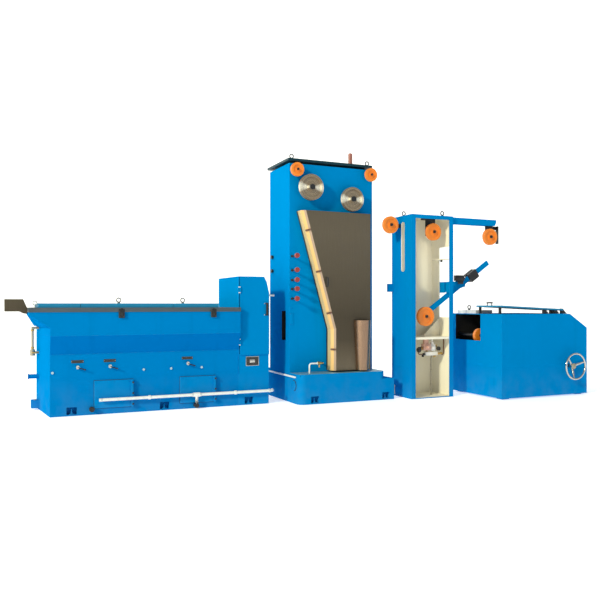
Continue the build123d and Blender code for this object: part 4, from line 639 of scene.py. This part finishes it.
def bolt(form, place, axis, across=16.0, height=9.0):
    """A hexagon bolt head on a washer, with a chamfered top."""
    washer = across * WASHER_SHARE
    turned_form(form, [(washer, 0), (washer, 1.6), (washer - 0.6, 2.0)], place, axis, 20)
    half = across / 2 * HEX_CORNER_SHARE
    turned_form(form, [(half, 1.5), (half, height - 1.5), (half * 0.86, height)], place, axis, 6)


def screw(form, place, axis, radius=7.0):
    """A domed screw head with a drive recess."""
    shares = [(1, 0), (1, 0.25), (0.8, 0.55), (0.4, 0.62), (0.36, 0.3)]
    turned_form(form, [(radius * out, radius * up) for out, up in shares], place, axis, 16)


def piece(name, body, material, build):
    """One finished object: built in line millimetres, moved to the frame, and riding on a body."""
    form = bmesh.new()
    build(form)
    bmesh.ops.recalc_face_normals(form, faces=form.faces)
    form.transform(LINE_TO_FRAME)
    mesh = bpy.data.meshes.new(name)
    form.to_mesh(mesh)
    form.free()
    mesh.materials.append(material)
    for face in mesh.polygons:
        face.use_smooth = True
    made = bpy.data.objects.new(name, mesh)
    bpy.context.collection.objects.link(made)
    split = made.modifiers.new("split", "EDGE_SPLIT")
    split.split_angle = PIECE_SPLIT
    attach(made, body)
    return made


# Access covers: a dark gasket, round-head screws, and clips on the turned-out lip
COVER_LEFTS = (565.0, 1748.0)
COVER_WIDTH, COVER_LOW, COVER_HIGH, COVER_FACE, LIP = 519.0, 84.0, 462.0, -20.0, 26.0
LIP_FACE = -46.2
SIDE_SCREW_MARGIN = 138.0
CLIP_MARGIN = 40.0


def cover_gaskets(form):
    """Four dark strips round each access cover."""
    proud = 5.0
    for left in COVER_LEFTS:
        right = left + COVER_WIDTH
        for x in (left - proud, right):
            slab(form, (x, -4, COVER_LOW - proud), (x + proud, -0.2, COVER_HIGH + proud), 0.8)
        for z in (COVER_LOW - proud, COVER_HIGH):
            slab(form, (left, -4, z), (right, -0.2, z + proud), 0.8)


def cover_screws(form):
    """Ten screws round each access cover."""
    inset = 26.0
    for left in COVER_LEFTS:
        lines = [left + inset, left + COVER_WIDTH / 2, left + COVER_WIDTH - LIP - inset]
        for x in lines:
            for z in (COVER_LOW + inset, COVER_HIGH - inset):
                screw(form, (x, COVER_FACE, z), FRONT)
        for z in (COVER_LOW + SIDE_SCREW_MARGIN, COVER_HIGH - SIDE_SCREW_MARGIN):
            for x in (lines[0], lines[2]):
                screw(form, (x, COVER_FACE, z), FRONT)


def lip_clips(form):
    """Three spring clips on each cover's lip."""
    for left in COVER_LEFTS:
        edge = left + COVER_WIDTH
        for z in (COVER_LOW + CLIP_MARGIN, (COVER_LOW + COVER_HIGH) / 2, COVER_HIGH - CLIP_MARGIN):
            slab(form, (edge - 16, -58, z - 11), (edge + 7, LIP_FACE, z + 11), 2)
            turned_form(form, [(6, 0), (6, 8), (4, 10)], (edge - 4, -58, z), FRONT, 14)


piece("cover_gaskets", "root", rubber, cover_gaskets)
piece("cover_screws", "root", finish["machine_blue"], cover_screws)
piece("lip_clips", "root", finish["black_steel"], lip_clips)

# Plates: rivets on the bare label plates, and a light border round the bare nameplate
LABELS = (348.0, 771.0, 1854.0)
LABEL_LEVEL, LABEL_FACE, LABEL_RIVET = 730.0, -3.0, 72.0
NAME_FACE, NAME_RIVET = -5.4, 9.0
NAME_LEFT, NAME_WIDTH, NAME_LOW, NAME_HIGH = 2745.0, 206.0, 582.0, 722.0


def plate_rivets(form):
    """Domed rivets at the plates' ends and corners."""
    for x in LABELS:
        for side in (-LABEL_RIVET, LABEL_RIVET):
            turned_form(form, [(4, 0), (3.6, 1.6), (2, 2.6)], (x + side, LABEL_FACE, LABEL_LEVEL), FRONT, 12)
    for x in (NAME_LEFT + NAME_RIVET, NAME_LEFT + NAME_WIDTH - NAME_RIVET):
        for z in (NAME_LOW + NAME_RIVET, NAME_HIGH - NAME_RIVET):
            turned_form(form, [(5, 0), (4.4, 2), (2.4, 3.2)], (x, NAME_FACE, z), FRONT, 12)


def name_border(form):
    """A raised frame round the nameplate and a plain raised panel at its middle."""
    wide = 7.0
    right = NAME_LEFT + NAME_WIDTH
    for x in (NAME_LEFT, right - wide):
        slab(form, (x, -5.5, NAME_LOW), (x + wide, -3, NAME_HIGH), 0.8)
    for z in (NAME_LOW, NAME_HIGH - wide):
        slab(form, (NAME_LEFT + wide, -5.5, z), (right - wide, -3, z + wide), 0.8)
    slab(form, (NAME_LEFT + 62, -4.6, NAME_LOW + 48), (right - 62, -3, NAME_HIGH - 46), 0.6)


piece("plate_rivets", "root", finish["bright_steel"], plate_rivets)
piece("name_border", "root", finish["bright_steel"], name_border)

# Anchor studs with nut and washer plate, one in each recess at floor level
STUD_FLOOR = 19.0
STUD_PLACES = [(x, 40.0) for x in (275.5, 1528.5, 2795.5)] + [(x, -331.0) for x in (3717.5, 4952.5)]


def anchor_studs(form):
    """Threaded studs standing in the recesses, a locking nut on each."""
    thread = [(8.5 if i % 2 else 7.6, 18 + i * 2.2) for i in range(20)] + [(6, 64)]
    for x, y in STUD_PLACES:
        seat = (x, y, STUD_FLOOR + 8.5)
        slab(form, (x - 34, y - 30, STUD_FLOOR), (x + 34, y + 34, STUD_FLOOR + 9), 2)
        turned_form(form, [(17, 0), (17, 16), (14.5, 19)], seat, UP, 6)
        turned_form(form, thread, seat, UP, 14)


piece("anchor_studs", "root", finish["machine_blue"], anchor_studs)

# Lever valves: a dark lever that hangs down to the right of each knob, under each label
LEVER_WAY = (0.94, 0, -0.34)


def valve_levers(form):
    """A round lever with a thicker tip on each valve."""
    for x in LABELS:
        tube(form, 7, [(x + 4, -50, 654), (x + 30, -54, 642), (x + 92, -56, 622)])
        turned_form(form, [(9, 0), (9, 16), (6, 19)], (x + 84, -56, 625), LEVER_WAY, 14)


piece("valve_levers", "root", finish["black_steel"], valve_levers)

# Latches on the rim: a draw hook with its pin and two bolts each
LATCHES = (913.0, 2215.0)
LATCH_FACE, HOOK_FACE = -132.2, -141.0


def latch_hooks(form):
    """The hook, lever and bolts of each draw latch."""
    for x in LATCHES:
        slab(form, (x - 15, HOOK_FACE, 1352), (x + 15, LATCH_FACE, 1424), 3)
        turned_form(form, [(9, 0), (9, 5), (6, 7)], (x, HOOK_FACE, 1368), FRONT, 16)
        for side in (-29, 29):
            bolt(form, (x + side, -132, 1333), FRONT, 13, 8)
        loop = [(x - 13, 1424), (x - 13, 1446), (x + 13, 1446), (x + 13, 1424)]
        tube(form, 4.5, [(across, -138, level) for across, level in loop])


piece("latch_hooks", "root", finish["black_steel"], latch_hooks)

# Guide ring that stands on the rim where the wire runs in
RING_PLACE = (-182.0, 100.0)
RING_FOOT = 1458.2
RING_LEVEL = 1520.0


def wire_guide(form):
    """A ring on a stem with a lock nut."""
    x, y = RING_PLACE
    stem = [(20, 0), (20, 8), (9, 12), (9, 30), (13, 31), (13, 40), (8, 42)]
    turned_form(form, stem, (x, y, RING_FOOT), UP, 18)
    tube(form, 8, arc((x, y, RING_LEVEL), 26, -90, 270, (LEFT, UP), 20))


piece("wire_guide", "root", finish["galvanised"], wire_guide)

# Pipe fittings: unions on the coolant pipe, hose nuts at the base, unions and a lever on the end pipe
PIPE_Y, PIPE_Z = -74.0, 205.0
UNION_PLACES = (1918.0, 2032.0, 3092.0)
COUPLINGS = ((530.0, -68.0, 80.0), (1975.0, -90.0, 49.0))
END_PIPE = (-184.0, 820.0)


def pipe_unions(form):
    """Hexagon unions along the white coolant pipe."""
    for x in UNION_PLACES:
        turned_form(form, [(25, 0), (28, 2), (28, 18), (25, 20)], (x - 10, PIPE_Y, PIPE_Z), RIGHT, 6)
        turned_form(form, [(23.5, -8), (23.5, 28)], (x - 10, PIPE_Y, PIPE_Z), RIGHT, 20)
    turned_form(form, [(24.5, 0), (24.5, 22), (22, 25)], (640, PIPE_Y, PIPE_Z), RIGHT, 20)


def coupling_nuts(form):
    """Ribbed hose nuts on the two couplings at the base."""
    for x, near, z in COUPLINGS:
        profile = [(33 + (1.6 if i % 2 else 0), i * 3.5) for i in range(12)]
        turned_form(form, profile, (x, near + 40, z), FRONT, 24)
        turned_form(form, [(24, 0), (24, 4), (12, 4.5), (12, 1)], (x, near - 1, z), FRONT, 20)


def end_unions(form):
    """Union nuts and a quarter-turn lever on the left end's drain valve."""
    x, y = END_PIPE
    for z in (870, 1120):
        turned_form(form, [(22, 0), (25, 3), (25, 22), (22, 25)], (x, y, z), UP, 6)
    turned_form(form, [(12, 33), (12, 48), (9, 50)], (x, y, 815), FRONT, 16)
    slab(form, (x - 8, y - 54, 806), (x + 78, y - 47, 824), 3)


piece("pipe_unions", "root", finish["galvanised"], pipe_unions)
piece("coupling_nuts", "root", finish["black_steel"], coupling_nuts)
piece("end_unions", "root", brass, end_unions)

# Bolted flange on the stub at the left end, and bolts on the foot lug
STUB_FACE = -246.0
STUB_LEVEL = 474.0


def stub_bolts(form):
    """Four bolts round the stub's flange and two through the lug."""
    for turn in range(4):
        angle = radians(45 + 90 * turn)
        place = (STUB_FACE, END_PIPE[1] + 34 * cos(angle), STUB_LEVEL + 34 * sin(angle))
        turned_form(form, [(4.5, -4), (4.5, 0)], place, LEFT, 6)
    for y in (790, 850):
        bolt(form, (-150, y, 138), UP, 20, 12)


piece("stub_bolts", "root", finish["dull_steel"], stub_bolts)

# Weld beads along the sloping underside's foot, and where the housing meets the base
SEAMS = (((20.0, -1.0, 829.0), (2620.0, -1.0, 829.0)), ((2629.0, -3.0, 470.0), (2629.0, -3.0, 750.0)))
BEAD_RADIUS = 4.0
BEAD_PITCH = 9.0


def weld_beads(form):
    """Rippled beads along two seams of the drawing machine."""
    for start, end in SEAMS:
        way = Vector(end) - Vector(start)
        count = int(way.length / BEAD_PITCH)
        profile = [(BEAD_RADIUS * (0.8 + 0.35 * (i % 2)), i * BEAD_PITCH) for i in range(count)]
        turned_form(form, profile, start, way.normalized(), 8)


# The beads take the same painted-shade copy of the blue
piece("weld_beads", "root", shaded_base_blue, weld_beads)

# Capstan door: two bolts on the fixing strip beside its handle
DOOR_FACE = -22.3
HANDLE_BOLTS = ((3036.0, 1345.0), (3036.0, 1515.0))


def door_hardware(form):
    """Bolts on the fixing strip beside the door's handle."""
    for x, z in HANDLE_BOLTS:
        bolt(form, (x, DOOR_FACE, z), FRONT, 12, 7)


piece("door_hardware", "capstan_door", finish["bright_steel"], door_hardware)

# Tower: a small flush panel under the valves, ribs and lock rings on the valves, rings on the side caps
VALVE_LINE = 3497.0
VALVE_LEVELS = (1590.0, 1738.0, 1876.0, 2026.0, 2243.0)
KNOB_BACK = -179.0
RIB_CIRCLE = 34.5
CAP_PLACE = (3454.8, 681.0)
CAP_LEVELS = (2045.0, 2271.0)


def tower_panel(form):
    """A bolted inspection plate and a plugged port above it."""
    slab(form, (3462, -5, 1186), (3524, -0.2, 1362), 2)
    for x in (3470, 3516):
        for z in (1196, 1352):
            screw(form, (x, -5, z), FRONT, 4.5)
    turned_form(form, [(13, 0), (13, 5), (9, 8), (4, 8), (4, 5)], (3483, -0.2, 1442), FRONT, 18)


def valve_ribs(form):
    """Twelve ribs round each valve knob."""
    rib = [(3.6, 0), (4.2, 3), (4.2, 34), (3.0, 37)]
    for level in VALVE_LEVELS:
        for i in range(12):
            angle = radians(30 * i)
            place = (VALVE_LINE + RIB_CIRCLE * cos(angle), KNOB_BACK, level + RIB_CIRCLE * sin(angle))
            turned_form(form, rib, place, FRONT, 8)


def valve_rings(form):
    """Lock rings at the foot of each valve stem, and rings on the two caps at the tower's left side."""
    for level in VALVE_LEVELS:
        turned_form(form, [(17, 8.2), (19, 10), (19, 24), (15, 27)], (VALVE_LINE, 0, level), FRONT, 6)
    for level in CAP_LEVELS:
        turned_form(form, [(24, 0), (24, 12), (31, 15), (31, 34), (24, 38)], (*CAP_PLACE, level), LEFT, 20)


piece("tower_panel", "root", finish["machine_blue"], tower_panel)
piece("valve_ribs", "root", finish["knob_red"], valve_ribs)
piece("valve_rings", "root", finish["black_steel"], valve_rings)

# Plinth: a sheet in three panels over the tray, and a blind port on the left side
TRAY_LEFT, TRAY_RIGHT, TRAY_FRONT, TRAY_TOP = 3485.0, 4925.0, -341.0, 449.4
PORT_PLACE = (3455.0, -182.0, 274.0)
PORT_BOLT_CIRCLE = 56.0


def tray_sheet(form):
    """Three panels that lie between the tray's lips, with narrow joints."""
    width = (TRAY_RIGHT - TRAY_LEFT) / 3
    for i in range(3):
        left = TRAY_LEFT + width * i
        slab(form, (left, TRAY_FRONT, TRAY_TOP - 4), (left + width - 2, 0, TRAY_TOP), 0.8)


def gasket_and_shadow_ring(form):
    """The dark gasket ring behind the blind port, partly a real gasket and partly a painted shadow round the
    flange's edge.
    """
    turned_form(form, [(82, -2), (82, 5), (80, 6)], PORT_PLACE, LEFT, 40)


def plinth_port(form):
    """A blind flange with six bolts and a plug at its middle."""
    x, y, z = PORT_PLACE
    turned_form(form, [(76, 5), (76, 14), (73, 16), (30, 16), (28, 22), (12, 22)], PORT_PLACE, LEFT, 40)
    for i in range(6):
        angle = radians(60 * i)
        place = (x - 16, y + PORT_BOLT_CIRCLE * cos(angle), z + PORT_BOLT_CIRCLE * sin(angle))
        bolt(form, place, LEFT, 13, 8)


# The tray sheet takes the painted reflection of the lip
piece("tray_sheet", "root", painted_reflection_rim, tray_sheet)
# A dark ring round the blind port: a gasket and a painted shadow
piece("gasket_and_shadow_ring", "root", rubber, gasket_and_shadow_ring)
piece("plinth_port", "root", finish["machine_blue"], plinth_port)


# Cover: a black sleeve on its grip
def grip_sleeve(form):
    """The moulded sleeve on the cover's grip."""
    turned_form(form, [(9, 0), (12, 4), (12, 108), (9, 112)], (3985, -264, 1790), UP, 18)


piece("grip_sleeve", "annealer_cover", finish["black_steel"], grip_sleeve)

# Signal lamp: ribs round its lens
def lamp_ribs(form):
    """Rings along the lamp's lens."""
    for i in range(6):
        turned_form(form, [(34.2, 0), (36.5, 3), (34.2, 6)], (4545, 60, 3802 + 18 * i), UP, 28)


piece("lamp_ribs", "root", finish["lamp_red"], lamp_ribs)

# Roof plate: eight bolts
ROOF_TOP = 3750.0


def roof_bolts(form):
    """Bolts through the roof plate."""
    for x in (3560, 3620, 4750, 4810):
        for y in (150, 650):
            bolt(form, (x, y, ROOF_TOP), UP, 20, 12)


piece("roof_bolts", "root", finish["dull_steel"], roof_bolts)


def ring_of_screws(form, centre, radius, count, face, axis=FRONT, size=6.0, first=0.0):
    """Screws on a circle in the X and Z plane."""
    for i in range(count):
        angle = radians(first + 360 * i / count)
        screw(form, (centre[0] + radius * cos(angle), face, centre[1] + radius * sin(angle)), axis, size)


# Sheaves: bearing cover screws on each front face, by the hub's place and the screws' circle
SHEAVES = {
    "guide_sheave_left": ((3547, 3570), 20), "guide_sheave_right": ((4841, 3587), 20),
    "entry_sheave": ((5097, 2775), 27), "inner_sheave": ((5830, 2682), 27),
    "boom_sheave": ((6930, 2640), 27), "dancer_sheave": ((5679, 1307), 27),
    "contact_sheave_left": ((3761, 3304), 46), "contact_sheave_right": ((4478, 3163), 46),
}
for name, (centre, radius) in SHEAVES.items():
    face = (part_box(name)[0][1] - LINE_START[1]) * 1000

    def heads(form, centre=centre, radius=radius, face=face):
        """Screws on the hub's front face."""
        ring_of_screws(form, centre, radius, 4, face, FRONT, 3.4, 45.0)

    piece(name + "_screws", name, finish["black_steel"], heads)

# Column: screws beside the opening, its header, and the air fittings under the shelf
COLUMN_FACE = -521.0
FLANGE_LINES = (5372.0, 6098.0)
SHELF_UNDER = 939.6
ROW = -303.0
LOWER_ROW = -306.0
TURN_DOWN = (0, -0.94, -0.34)
LINE_PLACE = (5880.0, -264.0)


def column_bolts(form):
    """Screws up the column's front flanges."""
    for z in range(260, 2900, 440):
        for x in FLANGE_LINES:
            screw(form, (x, COLUMN_FACE, z), FRONT, 7)


def column_header(form):
    """The folded header across the top of the front opening."""
    slab(form, (5350, -520.8, 2874), (6121, -509, 2930), 2)


def pocket_back(form):
    """The inner wall of the pocket at the column's foot."""
    slab(form, (5349.5, -215, 15), (5355, -1, 178), 1)


def shelf_block(form):
    """The pink valve block under the shelf, with its ports."""
    slab(form, (5684, -352, 752), (5822, -262, 858), 6)
    slab(form, (5700, -372, 776), (5792, -352, 836), 4)
    slab(form, (5706, -336, 852), (5784, -278, SHELF_UNDER), 5)
    turned_form(form, [(18, 0), (22, 4), (22, 26), (16, 30)], (5740, -372, 806), FRONT, 6)


def shelf_valve(form):
    """The white regulator beside the block and the long body below it."""
    slab(form, (5826, -346, 740), (5916, -260, 850), 10)
    turned_form(form, [(30, 0), (34, 6), (34, 30), (26, 38)], (5871, ROW, 850), UP, 24)
    turned_form(form, [(15, 0), (15, 56)], (5871, ROW, 884), UP, 18)
    turned_form(form, [(30, 0), (34, 4), (34, 12), (28, 14)], (5868, -346, 796), FRONT, 28)
    slab(form, (5726, -344, 664), (5962, -272, 728), 12)


def shelf_brass(form):
    """Brass nuts, elbows and the outlet at the right."""
    turned_form(form, [(22, 0), (26, 4), (26, 34), (22, 38)], (5916, ROW, 820), RIGHT, 6)
    turned_form(form, [(20, 0), (24, 4), (24, 30), (20, 34)], (5962, LOWER_ROW, 694), RIGHT, 6)
    turned_form(form, [(15, 0), (15, 62)], (5990, LOWER_ROW, 694), RIGHT, 18)
    turned_form(form, [(20, 0), (24, 4), (24, 26), (20, 30)], (5652, ROW, 790), RIGHT, 6)
    turned_form(form, [(20, 0), (24, 4), (24, 22), (18, 26)], (5916, LOWER_ROW, 664), DOWN, 6)
    turned_form(form, [(18, 0), (22, 3), (22, 26), (18, 30)], (6052, LOWER_ROW, 712), DOWN, 6)
    for x in (5764, 5871):
        turned_form(form, [(20, -16), (22, -12), (22, 14), (18, 16)], (x, LOWER_ROW, 740), DOWN, 6)
    turned_form(form, [(26, 0), (26, 6), (18, 10)], (6101, ROW, SHELF_UNDER + 0.2), DOWN, 6)


def shelf_black(form):
    """Black knobs at both ends of the row and plugs under it."""
    knob = [(34, 0), (38, 5), (38, 44), (28, 52), (12, 52)]
    turned_form(form, knob, (5600, ROW, 768), TURN_DOWN, 24)
    turned_form(form, [(28, 0), (34, 5), (34, 36), (24, 44), (10, 44)], (5968, -330, 776), FRONT, 24)
    turned_form(form, [(20, 0), (20, 60)], (5610, ROW, 790), RIGHT, 20)
    turned_form(form, [(16, 0), (16, 26)], (5968, -305, 776), FRONT, 20)
    turned_form(form, [(14, 0), (18, 3), (18, 34), (12, 38)], (5726, LOWER_ROW, 690), LEFT, 16)
    turned_form(form, [(15, 0), (19, 3), (19, 26), (12, 32)], (5690, LOWER_ROW, 676), DOWN, 16)


def shelf_tubes(form):
    """The brown line that climbs from the outlet to the shelf, and a short hose at the left."""
    rise = [(6052, LOWER_ROW, 690)] + arc((6074, LOWER_ROW, 700), 24, 200, 330, (RIGHT, UP), 6)
    rise += [(6100, ROW, 740), (6101, ROW, 938)]
    tube(form, 9, rise)
    hose = [(5606, LOWER_ROW, 752)] + arc((5634, LOWER_ROW, 712), 28, 180, 250, (RIGHT, UP), 5)
    tube(form, 8, hose + [(5690, LOWER_ROW, 682)])


def air_line(form):
    """The supply line from the long body down to the column's floor, with two collars."""
    x, y = LINE_PLACE
    tube(form, 11, [(x, -282, 676), (x, -276, 646), (x, y, 618), (x, y, 14.5)])
    for z in (180, 420):
        turned_form(form, [(13, 0), (15, 2), (15, 14), (13, 16)], (x, y, z), UP, 18)
    turned_form(form, [(22, 0), (22, 6), (16, 12)], (x, y, 14.4), UP, 6)


piece("column_bolts", "root", finish["machine_blue"], column_bolts)
piece("column_header", "root", finish["machine_blue"], column_header)
piece("pocket_back", "root", finish["machine_blue"], pocket_back)
piece("shelf_block", "root", pink_cast, shelf_block)
piece("shelf_valve", "root", white_plastic, shelf_valve)
piece("shelf_brass", "root", brass, shelf_brass)
piece("shelf_black", "root", finish["black_steel"], shelf_black)
piece("shelf_tubes", "root", brown_hose, shelf_tubes)
piece("air_line", "root", pipe_worn, air_line)
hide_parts("air_unit")

# Pivot bracket: a black cable box over its pivot and bolts through its feet
def pivot_box(form):
    """The black junction box over the arm's pivot, on an angle, with its gland."""
    slab(form, (6290, -400, 1893), (6460, -325, 1986), 8)
    slab(form, (6320, -396, 1880), (6430, -330, 1895), 2)
    slab(form, (6320, -402, 1840), (6430, -396, 1895), 2)
    turned_form(form, [(14, 0), (17, 3), (17, 18), (10, 24)], (6460, -362, 1940), RIGHT, 6)
    slab(form, (6310, -406, 1908), (6440, -400, 1972), 2)


def pivot_bolts(form):
    """Four bolts through the bracket's feet."""
    for y in (-455, -132):
        for z in (1722, 1862):
            bolt(form, (6147, y, z), RIGHT, 17, 10)


piece("pivot_box", "root", finish["black_steel"], pivot_box)
piece("pivot_bolts", "root", finish["bright_steel"], pivot_bolts)

# Boom: bolts at its root
def boom_bolts(form):
    """Four bolts in the boom's root."""
    for y in (-440, -360):
        for x in (6170, 6230):
            bolt(form, (x, y, 2930), UP, 15, 5)


piece("boom_bolts", "root", finish["dull_steel"], boom_bolts)

# Take-up: screws up its front edge and under its side opening
TAKEUP_LEFT, TAKEUP_FACE = 6565.0, -1182.0


def takeup_screws(form):
    """Screws up the take-up's front edge and in a row under its side opening."""
    for z in range(180, 1300, 260):
        screw(form, (6600, TAKEUP_FACE, z), FRONT, 6)
    for y in (-640, -480, -320, -160, -50):
        screw(form, (TAKEUP_LEFT, y, 880), LEFT, 5.5)


piece("takeup_screws", "root", finish["machine_blue"], takeup_screws)

# Handwheel: three cast spokes and a collar
WHEEL = (7967.0, -1252.0, 490.0)
SPOKE_ANGLES = (20.0, 140.0, 260.0)
HUB_REACH = 30.0
RIM_REACH = (166.0, -66.0)


def wheel_spokes(form):
    """Tapered cast spokes over the wheel's rods, from the hub to its dished rim."""
    for angle in SPOKE_ANGLES:
        out = Vector((cos(radians(angle)), 0, sin(radians(angle))))
        start = Vector(WHEEL) + out * HUB_REACH
        reach = Vector((0, RIM_REACH[1], 0)) + out * RIM_REACH[0]
        taper = [(23, 0), (20, reach.length * 0.4), (14, reach.length * 0.85), (17, reach.length)]
        turned_form(form, taper, start, reach.normalized(), 12)


def wheel_collar(form):
    """A dull collar and nut on the handwheel's hub."""
    x, y, z = WHEEL
    turned_form(form, [(46, 0), (46, 8), (34, 16), (24, 20), (12, 22)], (x, y - 29, z), FRONT, 24)
    turned_form(form, [(18, 0), (18, 12), (15, 15)], (x, y - 48, z), FRONT, 6)


piece("wheel_spokes", "handwheel", finish["chrome"], wheel_spokes)
piece("wheel_collar", "handwheel", pipe_worn, wheel_collar)

# Backs: bolted service panels and louvres on the take-up; left, right, low, high and back face of each panel
BACK_PANELS = (
    (90.0, 860.0, 160.0, 960.0, 1000.0), (930.0, 1700.0, 160.0, 960.0, 1000.0),
    (1770.0, 2540.0, 160.0, 960.0, 1000.0), (2680.0, 3062.0, 160.0, 1840.0, 1000.0),
    (3530.0, 4150.0, 560.0, 3560.0, 820.0), (4220.0, 4840.0, 560.0, 3560.0, 820.0),
    (5400.0, 6070.0, 320.0, 2780.0, 69.0), (6680.0, 7400.0, 180.0, 1240.0, 68.0),
    (7480.0, 8120.0, 180.0, 960.0, 68.0),
)
PANEL_THICK = 5.0
PANEL_INSET = 24.0
LOUVRE_PITCH = 34.0
LOUVRE_TOP = 110.0
LOUVRE_MARGIN = 120.0


def back_panels(form):
    """Thin sheet panels on the backs."""
    for left, right, low, high, face in BACK_PANELS:
        slab(form, (left, face - 1, low), (right, face + PANEL_THICK, high), 2)


def back_screws(form):
    """Screws round each panel."""
    for left, right, low, high, face in BACK_PANELS:
        rows_up = max(2, round((high - low) / 400))
        for i in range(rows_up + 1):
            z = low + PANEL_INSET + (high - low - 2 * PANEL_INSET) * i / rows_up
            for x in (left + PANEL_INSET, right - PANEL_INSET):
                screw(form, (x, face + PANEL_THICK, z), BACK, 6)
        for z in (low + PANEL_INSET, high - PANEL_INSET):
            screw(form, ((left + right) / 2, face + PANEL_THICK, z), BACK, 6)


def back_louvres(form):
    """Pressed louvres in the take-up's two back panels."""
    for left, right, low, high, face in BACK_PANELS[-2:]:
        outer = face + PANEL_THICK
        for i in range(12):
            z = high - LOUVRE_TOP - i * LOUVRE_PITCH
            slab(form, (left + LOUVRE_MARGIN, outer - 1, z), (right - LOUVRE_MARGIN, outer + 9, z + 12), 4)


piece("back_panels", "root", finish["machine_blue"], back_panels)
piece("back_screws", "root", finish["dull_steel"], back_screws)
piece("back_louvres", "root", finish["machine_blue"], back_louvres)
